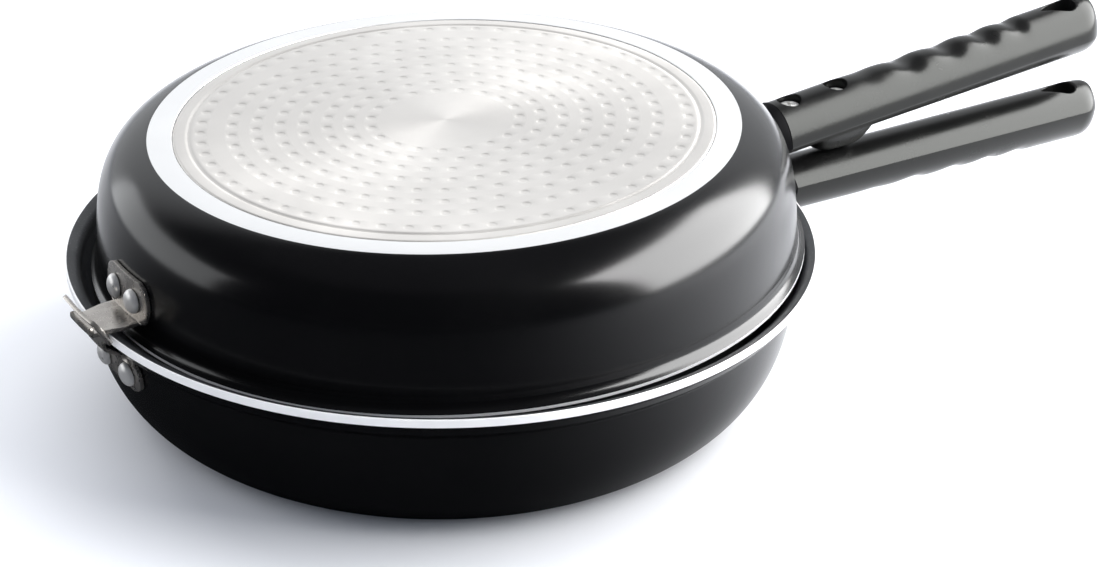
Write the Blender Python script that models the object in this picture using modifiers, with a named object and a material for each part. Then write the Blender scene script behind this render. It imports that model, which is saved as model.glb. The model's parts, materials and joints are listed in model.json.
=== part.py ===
"""Double sided flip pan, modelled as its separate pieces at their real size, in metres.

The lower pan stands on the plane z = 0 with its axis on Z. Both handles point along +X and the
hinge is opposite them, at -X. The upper pan lies inverted over the lower one and swings about
the hinge. Each pan is first drawn upright in its own frame, base down and handle along +X.
"""
import math

import bmesh
import bpy
from mathutils import Matrix, Vector

# Clearances
SEAT_GAP = 0.0003
CUT_OVERRUN = 0.002
MERGE_DISTANCE = 0.00002

# Lower pan, upright
LOWER_LIP_RADIUS = 0.1400
LOWER_LIP_EDGE = 0.0030
LOWER_FLARE = 0.0072
LOWER_WALL_RADIUS = LOWER_LIP_RADIUS - LOWER_FLARE
LOWER_CORNER_RUN = 0.0240
LOWER_BASE_RADIUS = LOWER_WALL_RADIUS - LOWER_CORNER_RUN
LOWER_HEIGHT = 0.0577
LOWER_FLARE_RISE = 0.0110
LOWER_WALL_TOP = LOWER_HEIGHT - LOWER_FLARE_RISE
LOWER_CORNER_START = 0.0206
LOWER_CORNER_END = 0.0210
LOWER_CORNER_ANGLE = math.radians(29.2)
LOWER_WALL_LEAN = math.radians(2.9)

# Upper pan, upright: its lip lies inside the lower one's
LIP_STEP = 0.0066
UPPER_LIP_RADIUS = LOWER_LIP_RADIUS - LIP_STEP
UPPER_LIP_EDGE = 0.0021
UPPER_FLARE = 0.0031
UPPER_WALL_RADIUS = UPPER_LIP_RADIUS - UPPER_FLARE
UPPER_CORNER_RUN = 0.0215
UPPER_BASE_RADIUS = UPPER_WALL_RADIUS - UPPER_CORNER_RUN
UPPER_HEIGHT = 0.0482
UPPER_FLARE_RISE = 0.0099
UPPER_WALL_TOP = UPPER_HEIGHT - UPPER_FLARE_RISE
UPPER_CORNER_START = 0.0190
UPPER_CORNER_END = 0.0230
UPPER_CORNER_ANGLE = math.radians(17.0)
UPPER_WALL_LEAN = math.radians(3.1)

# Sheet of both pans and the plate in the base
WALL_THICKNESS = 0.0025
FLOOR_THICKNESS = 0.0050
FLOOR_ROUND = 0.0009
LIP_BEVEL = 0.0003
DISC_RADIUS_SHARE = 0.915
DISC_THICKNESS = 0.0012
GROOVE_RADIUS_SHARE = 0.863
GROOVE_WIDTH = 0.0014
GROOVE_DEPTH = 0.0005

# How the upper pan lies on the lower one
REST_TILT = math.radians(1.76)
REST_SHIFT = 0.00265
REST_SINK = 0.0019

# Moulded handle, from its root to its tip
HANDLE_LENGTH = 0.1770
HANDLE_HALF_WIDTH_ROOT = 0.0132
HANDLE_HALF_WIDTH_TIP = 0.0128
DOME_POWER = 0.8
DOME_HEIGHT_ROOT = 0.0073
DOME_HEIGHT_TIP = 0.0098
GRIP_DEPTH_ROOT = 0.0148
GRIP_DEPTH_TIP = 0.0157
TIP_ROUND = 0.0130
GROOVE_COUNT = 4
FINGER_PITCH_SHARE = 0.129
FINGER_PITCH = HANDLE_LENGTH * FINGER_PITCH_SHARE
FINGER_DEPTH = 0.0027
FINGER_START_SHARE = 0.339
FINGER_START = HANDLE_LENGTH * FINGER_START_SHARE
FINGER_SKEW = 1.45
FINGER_SIDE_SHARE = 0.3
HANG_HOLE_RADIUS = 0.0048
HANG_HOLE_POINT = 0.0130
HANG_HOLE_FROM_TIP = 0.0200

FINGER_STATION_SHARES = (0, 0.24, 0.46, 0.66, 0.84)
TIP_STATION_SHARES = (1, 0.7, 0.45, 0.26, 0.13, 0.05, 0.015)

# Boss under the upper handle, which rests on the lower handle
BOSS_CENTRE = 0.0340
BOSS_HALF_LENGTH = 0.0145
BOSS_FLAT_SHARE = 0.45
BOSS_WIDTH_SHARE = 0.86
BOSS_STATION_SHARES = (0, 0.45, 0.7, 0.9, 1)

# Where the handles sit: root beyond the lip, crease below it, fall outwards
ROOT_BEYOND_LIP = 0.0210
LOWER_ROOT = LOWER_LIP_RADIUS + ROOT_BEYOND_LIP
LOWER_CREASE_DROP = 0.0148
LOWER_CREASE = LOWER_HEIGHT - LOWER_CREASE_DROP
LOWER_FALL = math.radians(1.03)
UPPER_ROOT = UPPER_LIP_RADIUS + ROOT_BEYOND_LIP
UPPER_CREASE_DROP = 0.0010
UPPER_CREASE = UPPER_HEIGHT - UPPER_CREASE_DROP
UPPER_FALL = math.radians(2.70)

# Tang of the handle bracket and its pad on the wall
TANG_WIDTH = 0.0120
TANG_THICKNESS = 0.0045
TANG_REACH = 0.0400
TANG_CENTRE = 0.0062
PAD_WIDTH = 0.0140
PAD_HEIGHT = 0.0052
PAD_THICKNESS = 0.0030
PAD_CENTRE_LOWER = 0.0050
PAD_CENTRE_UPPER = 0.0069

# Collar between wall and handle
COLLAR_PROUD = 0.0004
COLLAR_BAND = 0.0050
COLLAR_TAPER = 0.0160
COLLAR_SKIN = 0.0016
COLLAR_WALL_HALF_WIDTH = 0.0128
COLLAR_WALL_TOP_LOWER = 0.0040
COLLAR_WALL_TOP_UPPER = -0.0008
COLLAR_WALL_BOTTOM = 0.0130

# Screws in the underside of the handle
SCREW_HEAD_RADIUS = 0.0042
SCREW_HEAD_HEIGHT = 0.0020
SCREW_SHANK_RADIUS = 0.0020
SCREW_SLOT_LENGTH = 0.0048
SCREW_SLOT_WIDTH = 0.0010
SCREW_SLOT_DEPTH = 0.0011
HEAD_BEVEL_SHARE = 0.35
HEAD_FACE_SHARE = 0.72
RECESS_RADIUS = 0.0051
SCREW_FRONT_AT = 0.0085
SCREW_REAR_AT = 0.0325
SCREW_FRONT_SUNK = 0.0024
SCREW_REAR_SUNK = 0.0036

# Hinge plates and their rivets
PLATE_THICKNESS = 0.0015
BEND_RADIUS = 0.0019
LOWER_PLATE_HALF_WIDTH = 0.0165
LOWER_PLATE_BOTTOM = 0.0226
LOWER_PLATE_TOP = 0.0112
NECK_HALF_WIDTH = 0.0058
NECK_SINK = 0.0019
EAR_HALF_LENGTH = 0.0155
EAR_HEIGHT = 0.0122
EAR_LEAN = math.radians(31.0)
EAR_BAR = 0.0025
SLOT_HALF_LENGTH = 0.0106
SLOT_CORNER = 0.0015
UPPER_PLATE_HALF_WIDTH = 0.0160
UPPER_PLATE_TOP = 0.0216
UPPER_PLATE_BOTTOM = 0.0054
TONGUE_HALF_WIDTH = 0.0086
FLANGE_HALF_WIDTH = 0.0102
TONGUE_BEYOND = 0.0030
HOOK_HEIGHT = 0.0018
RIVET_HEAD_RADIUS = 0.0044
RIVET_HEAD_HEIGHT = 0.0028
RIVET_SHANK_RADIUS = 0.0024
RIVET_TAIL_RADIUS = 0.0042
RIVET_TAIL_HEIGHT = 0.0014
TAIL_FACE_SHARE = 0.8
LOWER_RIVET_SPREAD = 0.0092
LOWER_RIVET_DROP = 0.0164
UPPER_RIVET_SPREAD = 0.0070
UPPER_RIVET_DROP = 0.0137

# Outlines of the hinge plates: shares of a stretch's length, each with a share of its half width
LOWER_PLATE_SHARES = ((0, 0.70), (0.08, 0.86), (0.28, 1), (0.78, 1), (1, 0.86))
NECK_SHARES = ((1.12, 1.35), (1.25, 1))
EAR_SHARES = ((0.05, 0.75), (0.16, 0.92), (0.36, 1), (0.66, 1), (0.88, 0.92), (1, 0.76))
UPPER_PLATE_SHARES = ((0, 0.64), (0.07, 0.80), (0.20, 0.93), (0.40, 1), (0.66, 1), (0.88, 0.90))
UPPER_PLATE_ROW_SHARES = (0, 0.25, 0.5, 0.75, 1)

# Facets
PAN_STEPS = 56
CORNER_POINTS = 6
SECTION_POINTS = 16
SMALL_STEPS = 14
PLATE_STEPS = 8
SMOOTH_ANGLE = math.radians(35.0)


def parts_collection():
    """Empty the file and make one collection for the pieces and one for the cutters."""
    for item in list(bpy.data.objects):
        bpy.data.objects.remove(item, do_unlink=True)
    made = []
    for name in ("double_sided_flip_pan", "cutters"):
        collection = bpy.data.collections.new(name)
        bpy.context.scene.collection.children.link(collection)
        made.append(collection)
    return made


PARTS, CUTTERS = parts_collection()


def material(name, colour, roughness, metallic):
    """A Principled material of one colour."""
    made = bpy.data.materials.new(name)
    made.use_nodes = True
    shader = made.node_tree.nodes["Principled BSDF"]
    shader.inputs["Base Color"].default_value = (*colour, 1.0)
    shader.inputs["Roughness"].default_value = roughness
    shader.inputs["Metallic"].default_value = metallic
    return made


COATING = material("black_coating", (0.012, 0.012, 0.013), 0.35, 0.0)
STEEL = material("stainless_steel", (0.56, 0.55, 0.54), 0.30, 1.0)
DISC_STEEL = material("disc_steel", (0.68, 0.66, 0.64), 0.40, 1.0)
BAKELITE = material("black_bakelite", (0.018, 0.018, 0.019), 0.45, 0.0)
GUARD = material("guard_lacquer", (0.010, 0.010, 0.011), 0.40, 0.0)
BRACKET_ALLOY = material("bracket_alloy", (0.70, 0.70, 0.71), 0.45, 1.0)


def add_object(name, mesh, surface=None, cutter=False):
    """Link a mesh object, in the pieces' or the cutters' collection."""
    item = bpy.data.objects.new(name, mesh)
    (CUTTERS if cutter else PARTS).objects.link(item)
    if cutter:
        item.hide_render = True
        item.display_type = "WIRE"
    if surface:
        mesh.materials.append(surface)
    return item


def smooth(item):
    """Shade the piece smooth, with its sharp edges kept."""
    item.data.shade_smooth()
    item.data.set_sharp_from_angle(angle=SMOOTH_ANGLE)
    return item


def applied(item):
    """Give the object its evaluated mesh, and drop its modifiers."""
    graph = bpy.context.evaluated_depsgraph_get()
    mesh = bpy.data.meshes.new_from_object(item.evaluated_get(graph))
    item.modifiers.clear()
    item.data = mesh
    return item


def difference(item, cutters):
    """Cut every cutter out of the piece."""
    for cutter in cutters:
        cut = item.modifiers.new("cut", "BOOLEAN")
        cut.operation = "DIFFERENCE"
        cut.solver = "EXACT"
        cut.object = cutter
    return item


def union(item, other):
    """Join another closed solid to the piece."""
    join = item.modifiers.new("join", "BOOLEAN")
    join.operation = "UNION"
    join.solver = "EXACT"
    join.object = other
    return item


def turned(name, profile, steps, surface=None, cutter=False):
    """A profile of (radius, height) points turned about Z, from its inner top round to its base."""
    mesh = bpy.data.meshes.new(name)
    shape = bmesh.new()
    verts = [shape.verts.new((radius, 0, height)) for radius, height in profile]
    for first, second in zip(verts, verts[1:]):
        shape.edges.new((first, second))
    shape.to_mesh(mesh)
    shape.free()
    item = add_object(name, mesh, surface, cutter)
    screw = item.modifiers.new("turn", "SCREW")
    screw.steps = steps
    screw.render_steps = steps
    screw.use_merge_vertices = True
    screw.merge_threshold = MERGE_DISTANCE
    return applied(item)


def loft(name, sections, surface=None, cutter=False):
    """A closed skin through rings of points that all have the same count, with flat ends."""
    mesh = bpy.data.meshes.new(name)
    shape = bmesh.new()
    rings = [[shape.verts.new(point) for point in section] for section in sections]
    count = len(rings[0])
    for near, far in zip(rings, rings[1:]):
        for index in range(count):
            after = (index + 1) % count
            shape.faces.new((near[index], near[after], far[after], far[index]))
    shape.faces.new(rings[0])
    shape.faces.new(rings[-1])
    bmesh.ops.recalc_face_normals(shape, faces=shape.faces)
    shape.to_mesh(mesh)
    shape.free()
    return add_object(name, mesh, surface, cutter)


def block(name, low, high, surface=None, cutter=False):
    """A box between two corners."""
    mesh = bpy.data.meshes.new(name)
    shape = bmesh.new()
    size = Vector(high) - Vector(low)
    centre = (Vector(high) + Vector(low)) / 2
    place = Matrix.Translation(centre) @ Matrix.Diagonal((*size, 1))
    bmesh.ops.create_cube(shape, size=1, matrix=place)
    shape.to_mesh(mesh)
    shape.free()
    return add_object(name, mesh, surface, cutter)


def rod(name, radius, low, high, place, steps=SMALL_STEPS):
    """A cutter: a round bar along the local Z of a placing matrix."""
    mesh = bpy.data.meshes.new(name)
    shape = bmesh.new()
    bar = place @ Matrix.Translation((0, 0, (low + high) / 2))
    bmesh.ops.create_cone(shape, cap_ends=True, segments=steps, radius1=radius, radius2=radius,
                          depth=high - low, matrix=bar)
    shape.to_mesh(mesh)
    shape.free()
    return add_object(name, mesh, cutter=True)


def prism(name, outline, low, high, place):
    """A cutter: a flat outline of (x, y) points, extruded along the local Z of a placing matrix."""
    curve = bpy.data.curves.new(name, "CURVE")
    curve.dimensions = "2D"
    curve.fill_mode = "BOTH"
    curve.extrude = (high - low) / 2
    line = curve.splines.new("POLY")
    line.points.add(len(outline) - 1)
    line.use_cyclic_u = True
    for point, (along, across) in zip(line.points, outline):
        point.co = (along, across, 0, 1)
    flat = bpy.data.objects.new(name, curve)
    CUTTERS.objects.link(flat)
    flat.matrix_world = place @ Matrix.Translation((0, 0, (low + high) / 2))
    bpy.context.view_layer.update()
    graph = bpy.context.evaluated_depsgraph_get()
    mesh = bpy.data.meshes.new_from_object(flat.evaluated_get(graph))
    shape = bmesh.new()
    shape.from_mesh(mesh)
    bmesh.ops.remove_doubles(shape, verts=shape.verts, dist=MERGE_DISTANCE)
    bmesh.ops.recalc_face_normals(shape, faces=shape.faces)
    shape.to_mesh(mesh)
    shape.free()
    item = add_object(name + "_solid", mesh, cutter=True)
    item.matrix_world = flat.matrix_world.copy()
    bpy.data.objects.remove(flat, do_unlink=True)
    return item


def bezier(start, pull_start, pull_end, end, count):
    """Points of a cubic curve between two points with their two pulls."""
    points = []
    for index in range(count):
        t = index / (count - 1)
        s = 1 - t
        weights = (s ** 3, 3 * s * s * t, 3 * s * t * t, t ** 3)
        corners = (start, pull_start, pull_end, end)
        points.append(tuple(sum(w * c[axis] for w, c in zip(weights, corners)) for axis in (0, 1)))
    return points


def offset_line(points, distance):
    """The open line moved to its left by a distance."""
    moved = []
    for index, (x, y) in enumerate(points):
        before = points[max(index - 1, 0)]
        after = points[min(index + 1, len(points) - 1)]
        run = Vector((after[0] - before[0], after[1] - before[1])).normalized()
        moved.append((x - run.y * distance, y + run.x * distance))
    return moved


def rounded(points, radius, count=4):
    """The open line with its inner corners rounded to arcs."""
    line = [Vector(points[0])]
    for before, corner, after in zip(points, points[1:], points[2:]):
        into = (Vector(before) - Vector(corner)).normalized()
        away = (Vector(after) - Vector(corner)).normalized()
        bend = math.pi - into.angle(away)
        if bend < math.radians(2):
            line.append(Vector(corner))
            continue
        reach = radius * math.tan(bend / 2)
        start = Vector(corner) + into * reach
        end = Vector(corner) + away * reach
        for index in range(count + 1):
            t = index / count
            pulled = start * (1 - t) ** 2 + Vector(corner) * 2 * t * (1 - t) + end * t * t
            line.append(pulled)
    line.append(Vector(points[-1]))
    return [tuple(point) for point in line]


class Pan:
    """The turned outline of one pan, upright, with its base at height zero."""

    def __init__(self, height, base_radius, wall_radius, wall_top, lip_radius, lip_edge,
                 corner_start, corner_end, corner_angle, wall_lean, flared_face):
        self.height = height
        self.base_radius = base_radius
        self.lip_radius = lip_radius
        self.lip_edge = lip_edge
        self.flared_face = flared_face
        base = (base_radius, 0)
        wall = (wall_radius, wall_top)
        pull_base = (base_radius + corner_start * math.cos(corner_angle),
                     corner_start * math.sin(corner_angle))
        pull_wall = (wall_radius - corner_end * math.sin(wall_lean),
                     wall_top - corner_end * math.cos(wall_lean))
        self.corner = bezier(base, pull_base, pull_wall, wall, CORNER_POINTS)
        self.wall_radius = wall_radius
        self.disc_radius = base_radius * DISC_RADIUS_SHARE

    def flare(self):
        """The outside from the wall's top to the foot of the cut edge of the lip."""
        radius, low = self.corner[-1]
        run = self.lip_radius - radius
        rise = self.height - self.lip_edge - low
        shares = FLARED_FLARE_SHARES if self.flared_face else PLAIN_FLARE_SHARES
        return [(radius + run * out, low + rise * up) for out, up in shares]

    def outside(self, grow=0.0):
        """The outer line from the base's edge up to the lip's top edge, moved out by a distance."""
        line = self.corner + self.flare() + [(self.lip_radius, self.height)]
        return offset_line(line, -grow) if grow else line

    def inside(self):
        """The inner line from the lip's top edge down to the floor."""
        radius, low = self.corner[-1]
        inner = offset_line(self.corner, WALL_THICKNESS)
        lip_top = (self.lip_radius - LIP_BEVEL, self.height)
        shares = FLARED_FACE_SHARES if self.flared_face else PLAIN_FACE_SHARES
        run = self.lip_radius - inner[-1][0]
        rise = self.height - inner[-1][1]
        lip = [(inner[-1][0] + run * out, inner[-1][1] + rise * up) for out, up in shares]
        wall = [point for point in reversed(inner) if point[1] > FLOOR_THICKNESS + FLOOR_ROUND]
        foot = (wall[-1][0] - FLOOR_ROUND * 4, FLOOR_THICKNESS)
        return [lip_top] + lip + wall + [foot]

    def profile(self):
        """The whole closed section, from the floor's centre over the lip to the base's centre."""
        recess = DISC_THICKNESS + SEAT_GAP
        mouth = self.disc_radius + SEAT_GAP
        up = [(0, FLOOR_THICKNESS)] + list(reversed(self.inside()))
        down = list(reversed(self.outside()))[1:]
        lip_outer = [(self.lip_radius, self.height)]
        return up + lip_outer + down + [(mouth, 0), (mouth, recess), (0, recess)]

    def wall_at(self, height):
        """The outer radius of the wall at a height."""
        line = self.outside()
        for (r0, z0), (r1, z1) in zip(line, line[1:]):
            if z0 <= height <= z1 and z1 > z0:
                return r0 + (r1 - r0) * (height - z0) / (z1 - z0)
        return line[-1][0]


# Shapes of the lips, as shares of their run outwards and their rise
FLARED_FLARE_SHARES = ((0.22, 0.13), (0.50, 0.38), (0.76, 0.75), (1, 1))
FLARED_FACE_SHARES = ((0.60, 0.88), (0.48, 0.76), (0.42, 0.50), (0.27, 0.26), (0.08, 0.10))
PLAIN_FLARE_SHARES = ((0.12, 0.28), (0.45, 0.62), (1, 1))
PLAIN_FACE_SHARES = ((0.42, 0.86), (0.16, 0.60), (0.03, 0.28))

LOWER = Pan(LOWER_HEIGHT, LOWER_BASE_RADIUS, LOWER_WALL_RADIUS, LOWER_WALL_TOP, LOWER_LIP_RADIUS,
            LOWER_LIP_EDGE, LOWER_CORNER_START, LOWER_CORNER_END, LOWER_CORNER_ANGLE,
            LOWER_WALL_LEAN, True)
UPPER = Pan(UPPER_HEIGHT, UPPER_BASE_RADIUS, UPPER_WALL_RADIUS, UPPER_WALL_TOP, UPPER_LIP_RADIUS,
            UPPER_LIP_EDGE, UPPER_CORNER_START, UPPER_CORNER_END, UPPER_CORNER_ANGLE,
            UPPER_WALL_LEAN, False)

# The upper pan is turned over, tilted with its handle raised and sunk a little into the lower one
UPPER_LIP_PLANE = UPPER_HEIGHT - REST_SINK
UPPER_PLACE = (Matrix.Translation((REST_SHIFT, 0, LOWER_HEIGHT))
               @ Matrix.Rotation(-REST_TILT, 4, "Y")
               @ Matrix.Rotation(math.pi, 4, "X")
               @ Matrix.Translation((0, 0, -UPPER_LIP_PLANE)))


def ear_path():
    """Inner face of the lower hinge plate: up the wall, round the lip and up the leaning ear."""
    bottom = LOWER_HEIGHT - LOWER_PLATE_BOTTOM
    top = LOWER_HEIGHT - LOWER_PLATE_TOP
    neck = LOWER_LIP_RADIUS + SEAT_GAP
    lip_foot = LOWER_HEIGHT - LOWER_LIP_EDGE
    wall = [(LOWER.wall_at(height) + SEAT_GAP, height)
            for height in (bottom, (bottom + top) / 2, top)]
    shoulder = [(neck, lip_foot - PLATE_THICKNESS * 2), (neck, LOWER_HEIGHT - NECK_SINK)]
    ear_top = (neck + EAR_HEIGHT * math.sin(EAR_LEAN),
               LOWER_HEIGHT - NECK_SINK + EAR_HEIGHT * math.cos(EAR_LEAN))
    return wall, shoulder, ear_top


def ear_point(along):
    """Radius and height in the middle of the ear's sheet, at a distance up from its foot."""
    half = PLATE_THICKNESS / 2
    radius = LOWER_LIP_RADIUS + SEAT_GAP + along * math.sin(EAR_LEAN) + half * math.cos(EAR_LEAN)
    height = LOWER_HEIGHT - NECK_SINK + along * math.cos(EAR_LEAN) - half * math.sin(EAR_LEAN)
    return radius, height


def hinge_axis():
    """Radius and height of the axis: level with the tongue, which lies on the slot's lower bar,
    and plumb under the middle of the slot, so that the upright tongue stands free in it."""
    half = PLATE_THICKNESS / 2
    rise = (half + SEAT_GAP + half * math.sin(EAR_LEAN)) / math.cos(EAR_LEAN)
    return ear_point(EAR_HEIGHT / 2)[0] - SEAT_GAP, ear_point(EAR_BAR + rise)[1]


HINGE_RADIUS, HINGE_HEIGHT = hinge_axis()


def empty(name, place):
    """An empty at a place, which carries pieces."""
    item = bpy.data.objects.new(name, None)
    PARTS.objects.link(item)
    item.matrix_world = place
    return item


LOWER_FRAME = empty("lower_pan", Matrix.Identity(4))
UPPER_FRAME = empty("upper_pan_hinge", Matrix.Translation((-HINGE_RADIUS, 0, HINGE_HEIGHT)))


def seat(item, place, frame):
    """Move a piece's mesh to its place, measured from the empty that carries it."""
    local = frame.matrix_world.inverted() @ place
    item.data.transform(local)
    if local.determinant() < 0:
        item.data.flip_normals()
    item.parent = frame
    return smooth(item)


def wall_cutter(name, pan):
    """The space of a pan's outside and a small gap, as one turned solid."""
    line = pan.outside(SEAT_GAP)
    top = line[-1]
    profile = [(0, top[1])] + list(reversed(line)) + [(line[0][0], -SEAT_GAP), (0, -SEAT_GAP)]
    return turned(name, profile, PAN_STEPS, cutter=True)


def pan_body(name, pan, rivet_holes):
    """The pressed pan with its lip, base ring, recess for the plate and rivet holes."""
    item = turned(name, pan.profile(), PAN_STEPS, COATING)
    return applied(difference(item, rivet_holes))


def induction_disc(name, pan):
    """The steel plate in the base, with its pressed groove."""
    groove = pan.base_radius * GROOVE_RADIUS_SHARE
    half = GROOVE_WIDTH / 2
    profile = [(0, DISC_THICKNESS), (pan.disc_radius, DISC_THICKNESS), (pan.disc_radius, 0),
               (groove + half, 0), (groove, GROOVE_DEPTH), (groove - half, 0), (0, 0)]
    return turned(name, profile, PAN_STEPS, DISC_STEEL)


def bent_plate(name, stations, surface):
    """Sheet that follows circles about the pan's axis: (radius, height, half width) stations."""
    mesh = bpy.data.meshes.new(name)
    shape = bmesh.new()
    rows = []
    for radius, height, half_width in stations:
        row = []
        for index in range(PLATE_STEPS + 1):
            turn = half_width * (2 * index / PLATE_STEPS - 1) / radius
            row.append(shape.verts.new((-radius * math.cos(turn), radius * math.sin(turn), height)))
        rows.append(row)
    for low, high in zip(rows, rows[1:]):
        for index in range(PLATE_STEPS):
            shape.faces.new((low[index + 1], low[index], high[index], high[index + 1]))
    shape.to_mesh(mesh)
    shape.free()
    item = add_object(name, mesh, surface)
    sheet = item.modifiers.new("sheet", "SOLIDIFY")
    sheet.thickness = PLATE_THICKNESS
    sheet.offset = 1
    sheet.use_even_offset = True
    return applied(item)


def length_of(line):
    """Length of an open line of points."""
    return sum((Vector(second) - Vector(first)).length for first, second in zip(line, line[1:]))


def widths_along(line, outline):
    """Half widths at the points of a line, from (length along the line, half width) pairs."""
    stations = []
    length = 0
    before = line[0]
    for point in line:
        length += (Vector(point) - Vector(before)).length
        before = point
        for (s0, w0), (s1, w1) in zip(outline, outline[1:]):
            if s0 <= length <= s1 or (s1, w1) == outline[-1]:
                share = min(max((length - s0) / max(s1 - s0, MERGE_DISTANCE), 0), 1)
                stations.append((point[0], point[1], w0 + (w1 - w0) * share))
                break
    return stations


def with_points_at(line, lengths):
    """The line with extra points at given lengths along it."""
    marks = [0]
    for first, second in zip(line, line[1:]):
        marks.append(marks[-1] + (Vector(second) - Vector(first)).length)
    wanted = sorted(marks + [length for length in lengths if 0 < length < marks[-1]])
    dense = []
    for length in wanted:
        for index in range(len(line) - 1):
            if marks[index] <= length <= marks[index + 1]:
                run = max(marks[index + 1] - marks[index], MERGE_DISTANCE)
                share = (length - marks[index]) / run
                point = Vector(line[index]).lerp(Vector(line[index + 1]), share)
                if not dense or (Vector(dense[-1]) - point).length > MERGE_DISTANCE * 5:
                    dense.append(tuple(point))
                break
    return dense


def slot_cutter():
    """The long slot of the ear, square to the ear's face."""
    up = Vector((-math.sin(EAR_LEAN), 0, math.cos(EAR_LEAN)))
    across = Vector((0, 1, 0))
    normal = across.cross(up)
    radius, height = ear_point(EAR_HEIGHT / 2)
    place = Matrix.Translation((-radius, 0, height))
    place = place @ Matrix((across, up, normal)).transposed().to_4x4()
    reach = SLOT_HALF_LENGTH - SLOT_CORNER
    rise = EAR_HEIGHT / 2 - EAR_BAR - SLOT_CORNER
    outline = []
    for quarter, (side, level) in enumerate(((1, 1), (-1, 1), (-1, -1), (1, -1))):
        for index in range(4):
            turn = math.radians(90 * quarter + 30 * index)
            outline.append((side * reach + SLOT_CORNER * math.cos(turn),
                            level * rise + SLOT_CORNER * math.sin(turn)))
    return prism("ear_slot", outline, -PLATE_THICKNESS * 2, PLATE_THICKNESS * 2, place)


def lower_hinge_plate(name, rivet_holes):
    """Plate on the wall under the lip, with a neck round the lip and a slotted ear."""
    wall, shoulder, ear_top = ear_path()
    line = rounded(wall + shoulder + [ear_top], BEND_RADIUS)
    plate = LOWER_PLATE_BOTTOM - LOWER_PLATE_TOP
    ear = length_of(line) - EAR_HEIGHT
    outline = [(plate * along, LOWER_PLATE_HALF_WIDTH * wide) for along, wide in LOWER_PLATE_SHARES]
    outline += [(plate * along, NECK_HALF_WIDTH * wide) for along, wide in NECK_SHARES]
    outline += [(ear - PLATE_THICKNESS, NECK_HALF_WIDTH),
                (ear, (NECK_HALF_WIDTH + SLOT_HALF_LENGTH) / 2)]
    outline += [(ear + EAR_HEIGHT * along, EAR_HALF_LENGTH * wide) for along, wide in EAR_SHARES]
    stations = widths_along(with_points_at(line, [length for length, _ in outline]), outline)
    item = bent_plate(name, stations, STEEL)
    return applied(difference(item, rivet_holes + [slot_cutter()]))


def upper_hinge_plate(name, rivet_holes):
    """Shield-shaped plate on the wall, folded out to a flange, a tongue and its hook."""
    axis = UPPER_PLACE.inverted() @ Vector((-HINGE_RADIUS, 0, HINGE_HEIGHT))
    top = UPPER_LIP_PLANE - UPPER_PLATE_TOP
    fold = UPPER_LIP_PLANE - UPPER_PLATE_BOTTOM
    heights = [top + (fold - top) * share for share in UPPER_PLATE_ROW_SHARES]
    wall = [(UPPER.wall_at(height) + SEAT_GAP, height) for height in heights]
    level = axis.z + PLATE_THICKNESS / 2
    hook = -axis.x + TONGUE_BEYOND
    tongue = [(-axis.x, level), (hook, level), (hook, level - PLATE_THICKNESS - HOOK_HEIGHT)]
    line = rounded(wall + tongue, BEND_RADIUS)
    plate = fold - top
    total = length_of(line)
    slot = total - HOOK_HEIGHT - TONGUE_BEYOND - PLATE_THICKNESS * 2
    outline = [(plate * along, UPPER_PLATE_HALF_WIDTH * wide) for along, wide in UPPER_PLATE_SHARES]
    outline += [(plate, FLANGE_HALF_WIDTH), ((plate + slot) / 2, FLANGE_HALF_WIDTH),
                (slot, TONGUE_HALF_WIDTH), (total - HOOK_HEIGHT / 2, TONGUE_HALF_WIDTH),
                (total, TONGUE_HALF_WIDTH - HOOK_HEIGHT / 2)]
    stations = widths_along(with_points_at(line, [length for length, _ in outline]), outline)
    item = bent_plate(name, stations, STEEL)
    return applied(difference(item, rivet_holes))


def rivet_place(pan, height, spread):
    """Matrix whose origin is on the wall's outside and whose Z points squarely out of it."""
    radius = pan.wall_at(height)
    rise = RIVET_HEAD_RADIUS
    lean = math.atan2(pan.wall_at(height + rise) - pan.wall_at(height - rise), 2 * rise)
    turn = spread / radius
    level = math.cos(lean)
    out = Vector((-math.cos(turn) * level, math.sin(turn) * level, -math.sin(lean)))
    point = Vector((-radius * math.cos(turn), radius * math.sin(turn), height))
    return Matrix.Translation(point) @ out.to_track_quat("Z", "Y").to_matrix().to_4x4()


def rivet(name, place):
    """A rivet with a domed head outside and a flat tail inside."""
    under = PLATE_THICKNESS + SEAT_GAP * 2
    tail = -WALL_THICKNESS - SEAT_GAP * 2
    dome = []
    for index in range(5):
        turn = math.radians(90) * index / 5
        dome.append((RIVET_HEAD_RADIUS * math.sin(turn), under + RIVET_HEAD_HEIGHT * math.cos(turn)))
    end = tail - RIVET_TAIL_HEIGHT
    profile = dome + [(RIVET_HEAD_RADIUS, under), (RIVET_SHANK_RADIUS, under),
                      (RIVET_SHANK_RADIUS, tail), (RIVET_TAIL_RADIUS, tail),
                      (RIVET_TAIL_RADIUS * TAIL_FACE_SHARE, end), (0, end)]
    item = turned(name, profile, SMALL_STEPS, STEEL)
    item.data.transform(place)
    return item


def rivet_holes(name, places):
    """Clearance holes for the rivets, through plate and wall."""
    radius = RIVET_SHANK_RADIUS + SEAT_GAP
    low = -WALL_THICKNESS - CUT_OVERRUN
    high = PLATE_THICKNESS + CUT_OVERRUN
    return [rod(f"{name}_{index}", radius, low, high, place) for index, place in enumerate(places)]


def between(share, root, tip):
    """A size of the handle at a share of its length."""
    return root + (tip - root) * share


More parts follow.
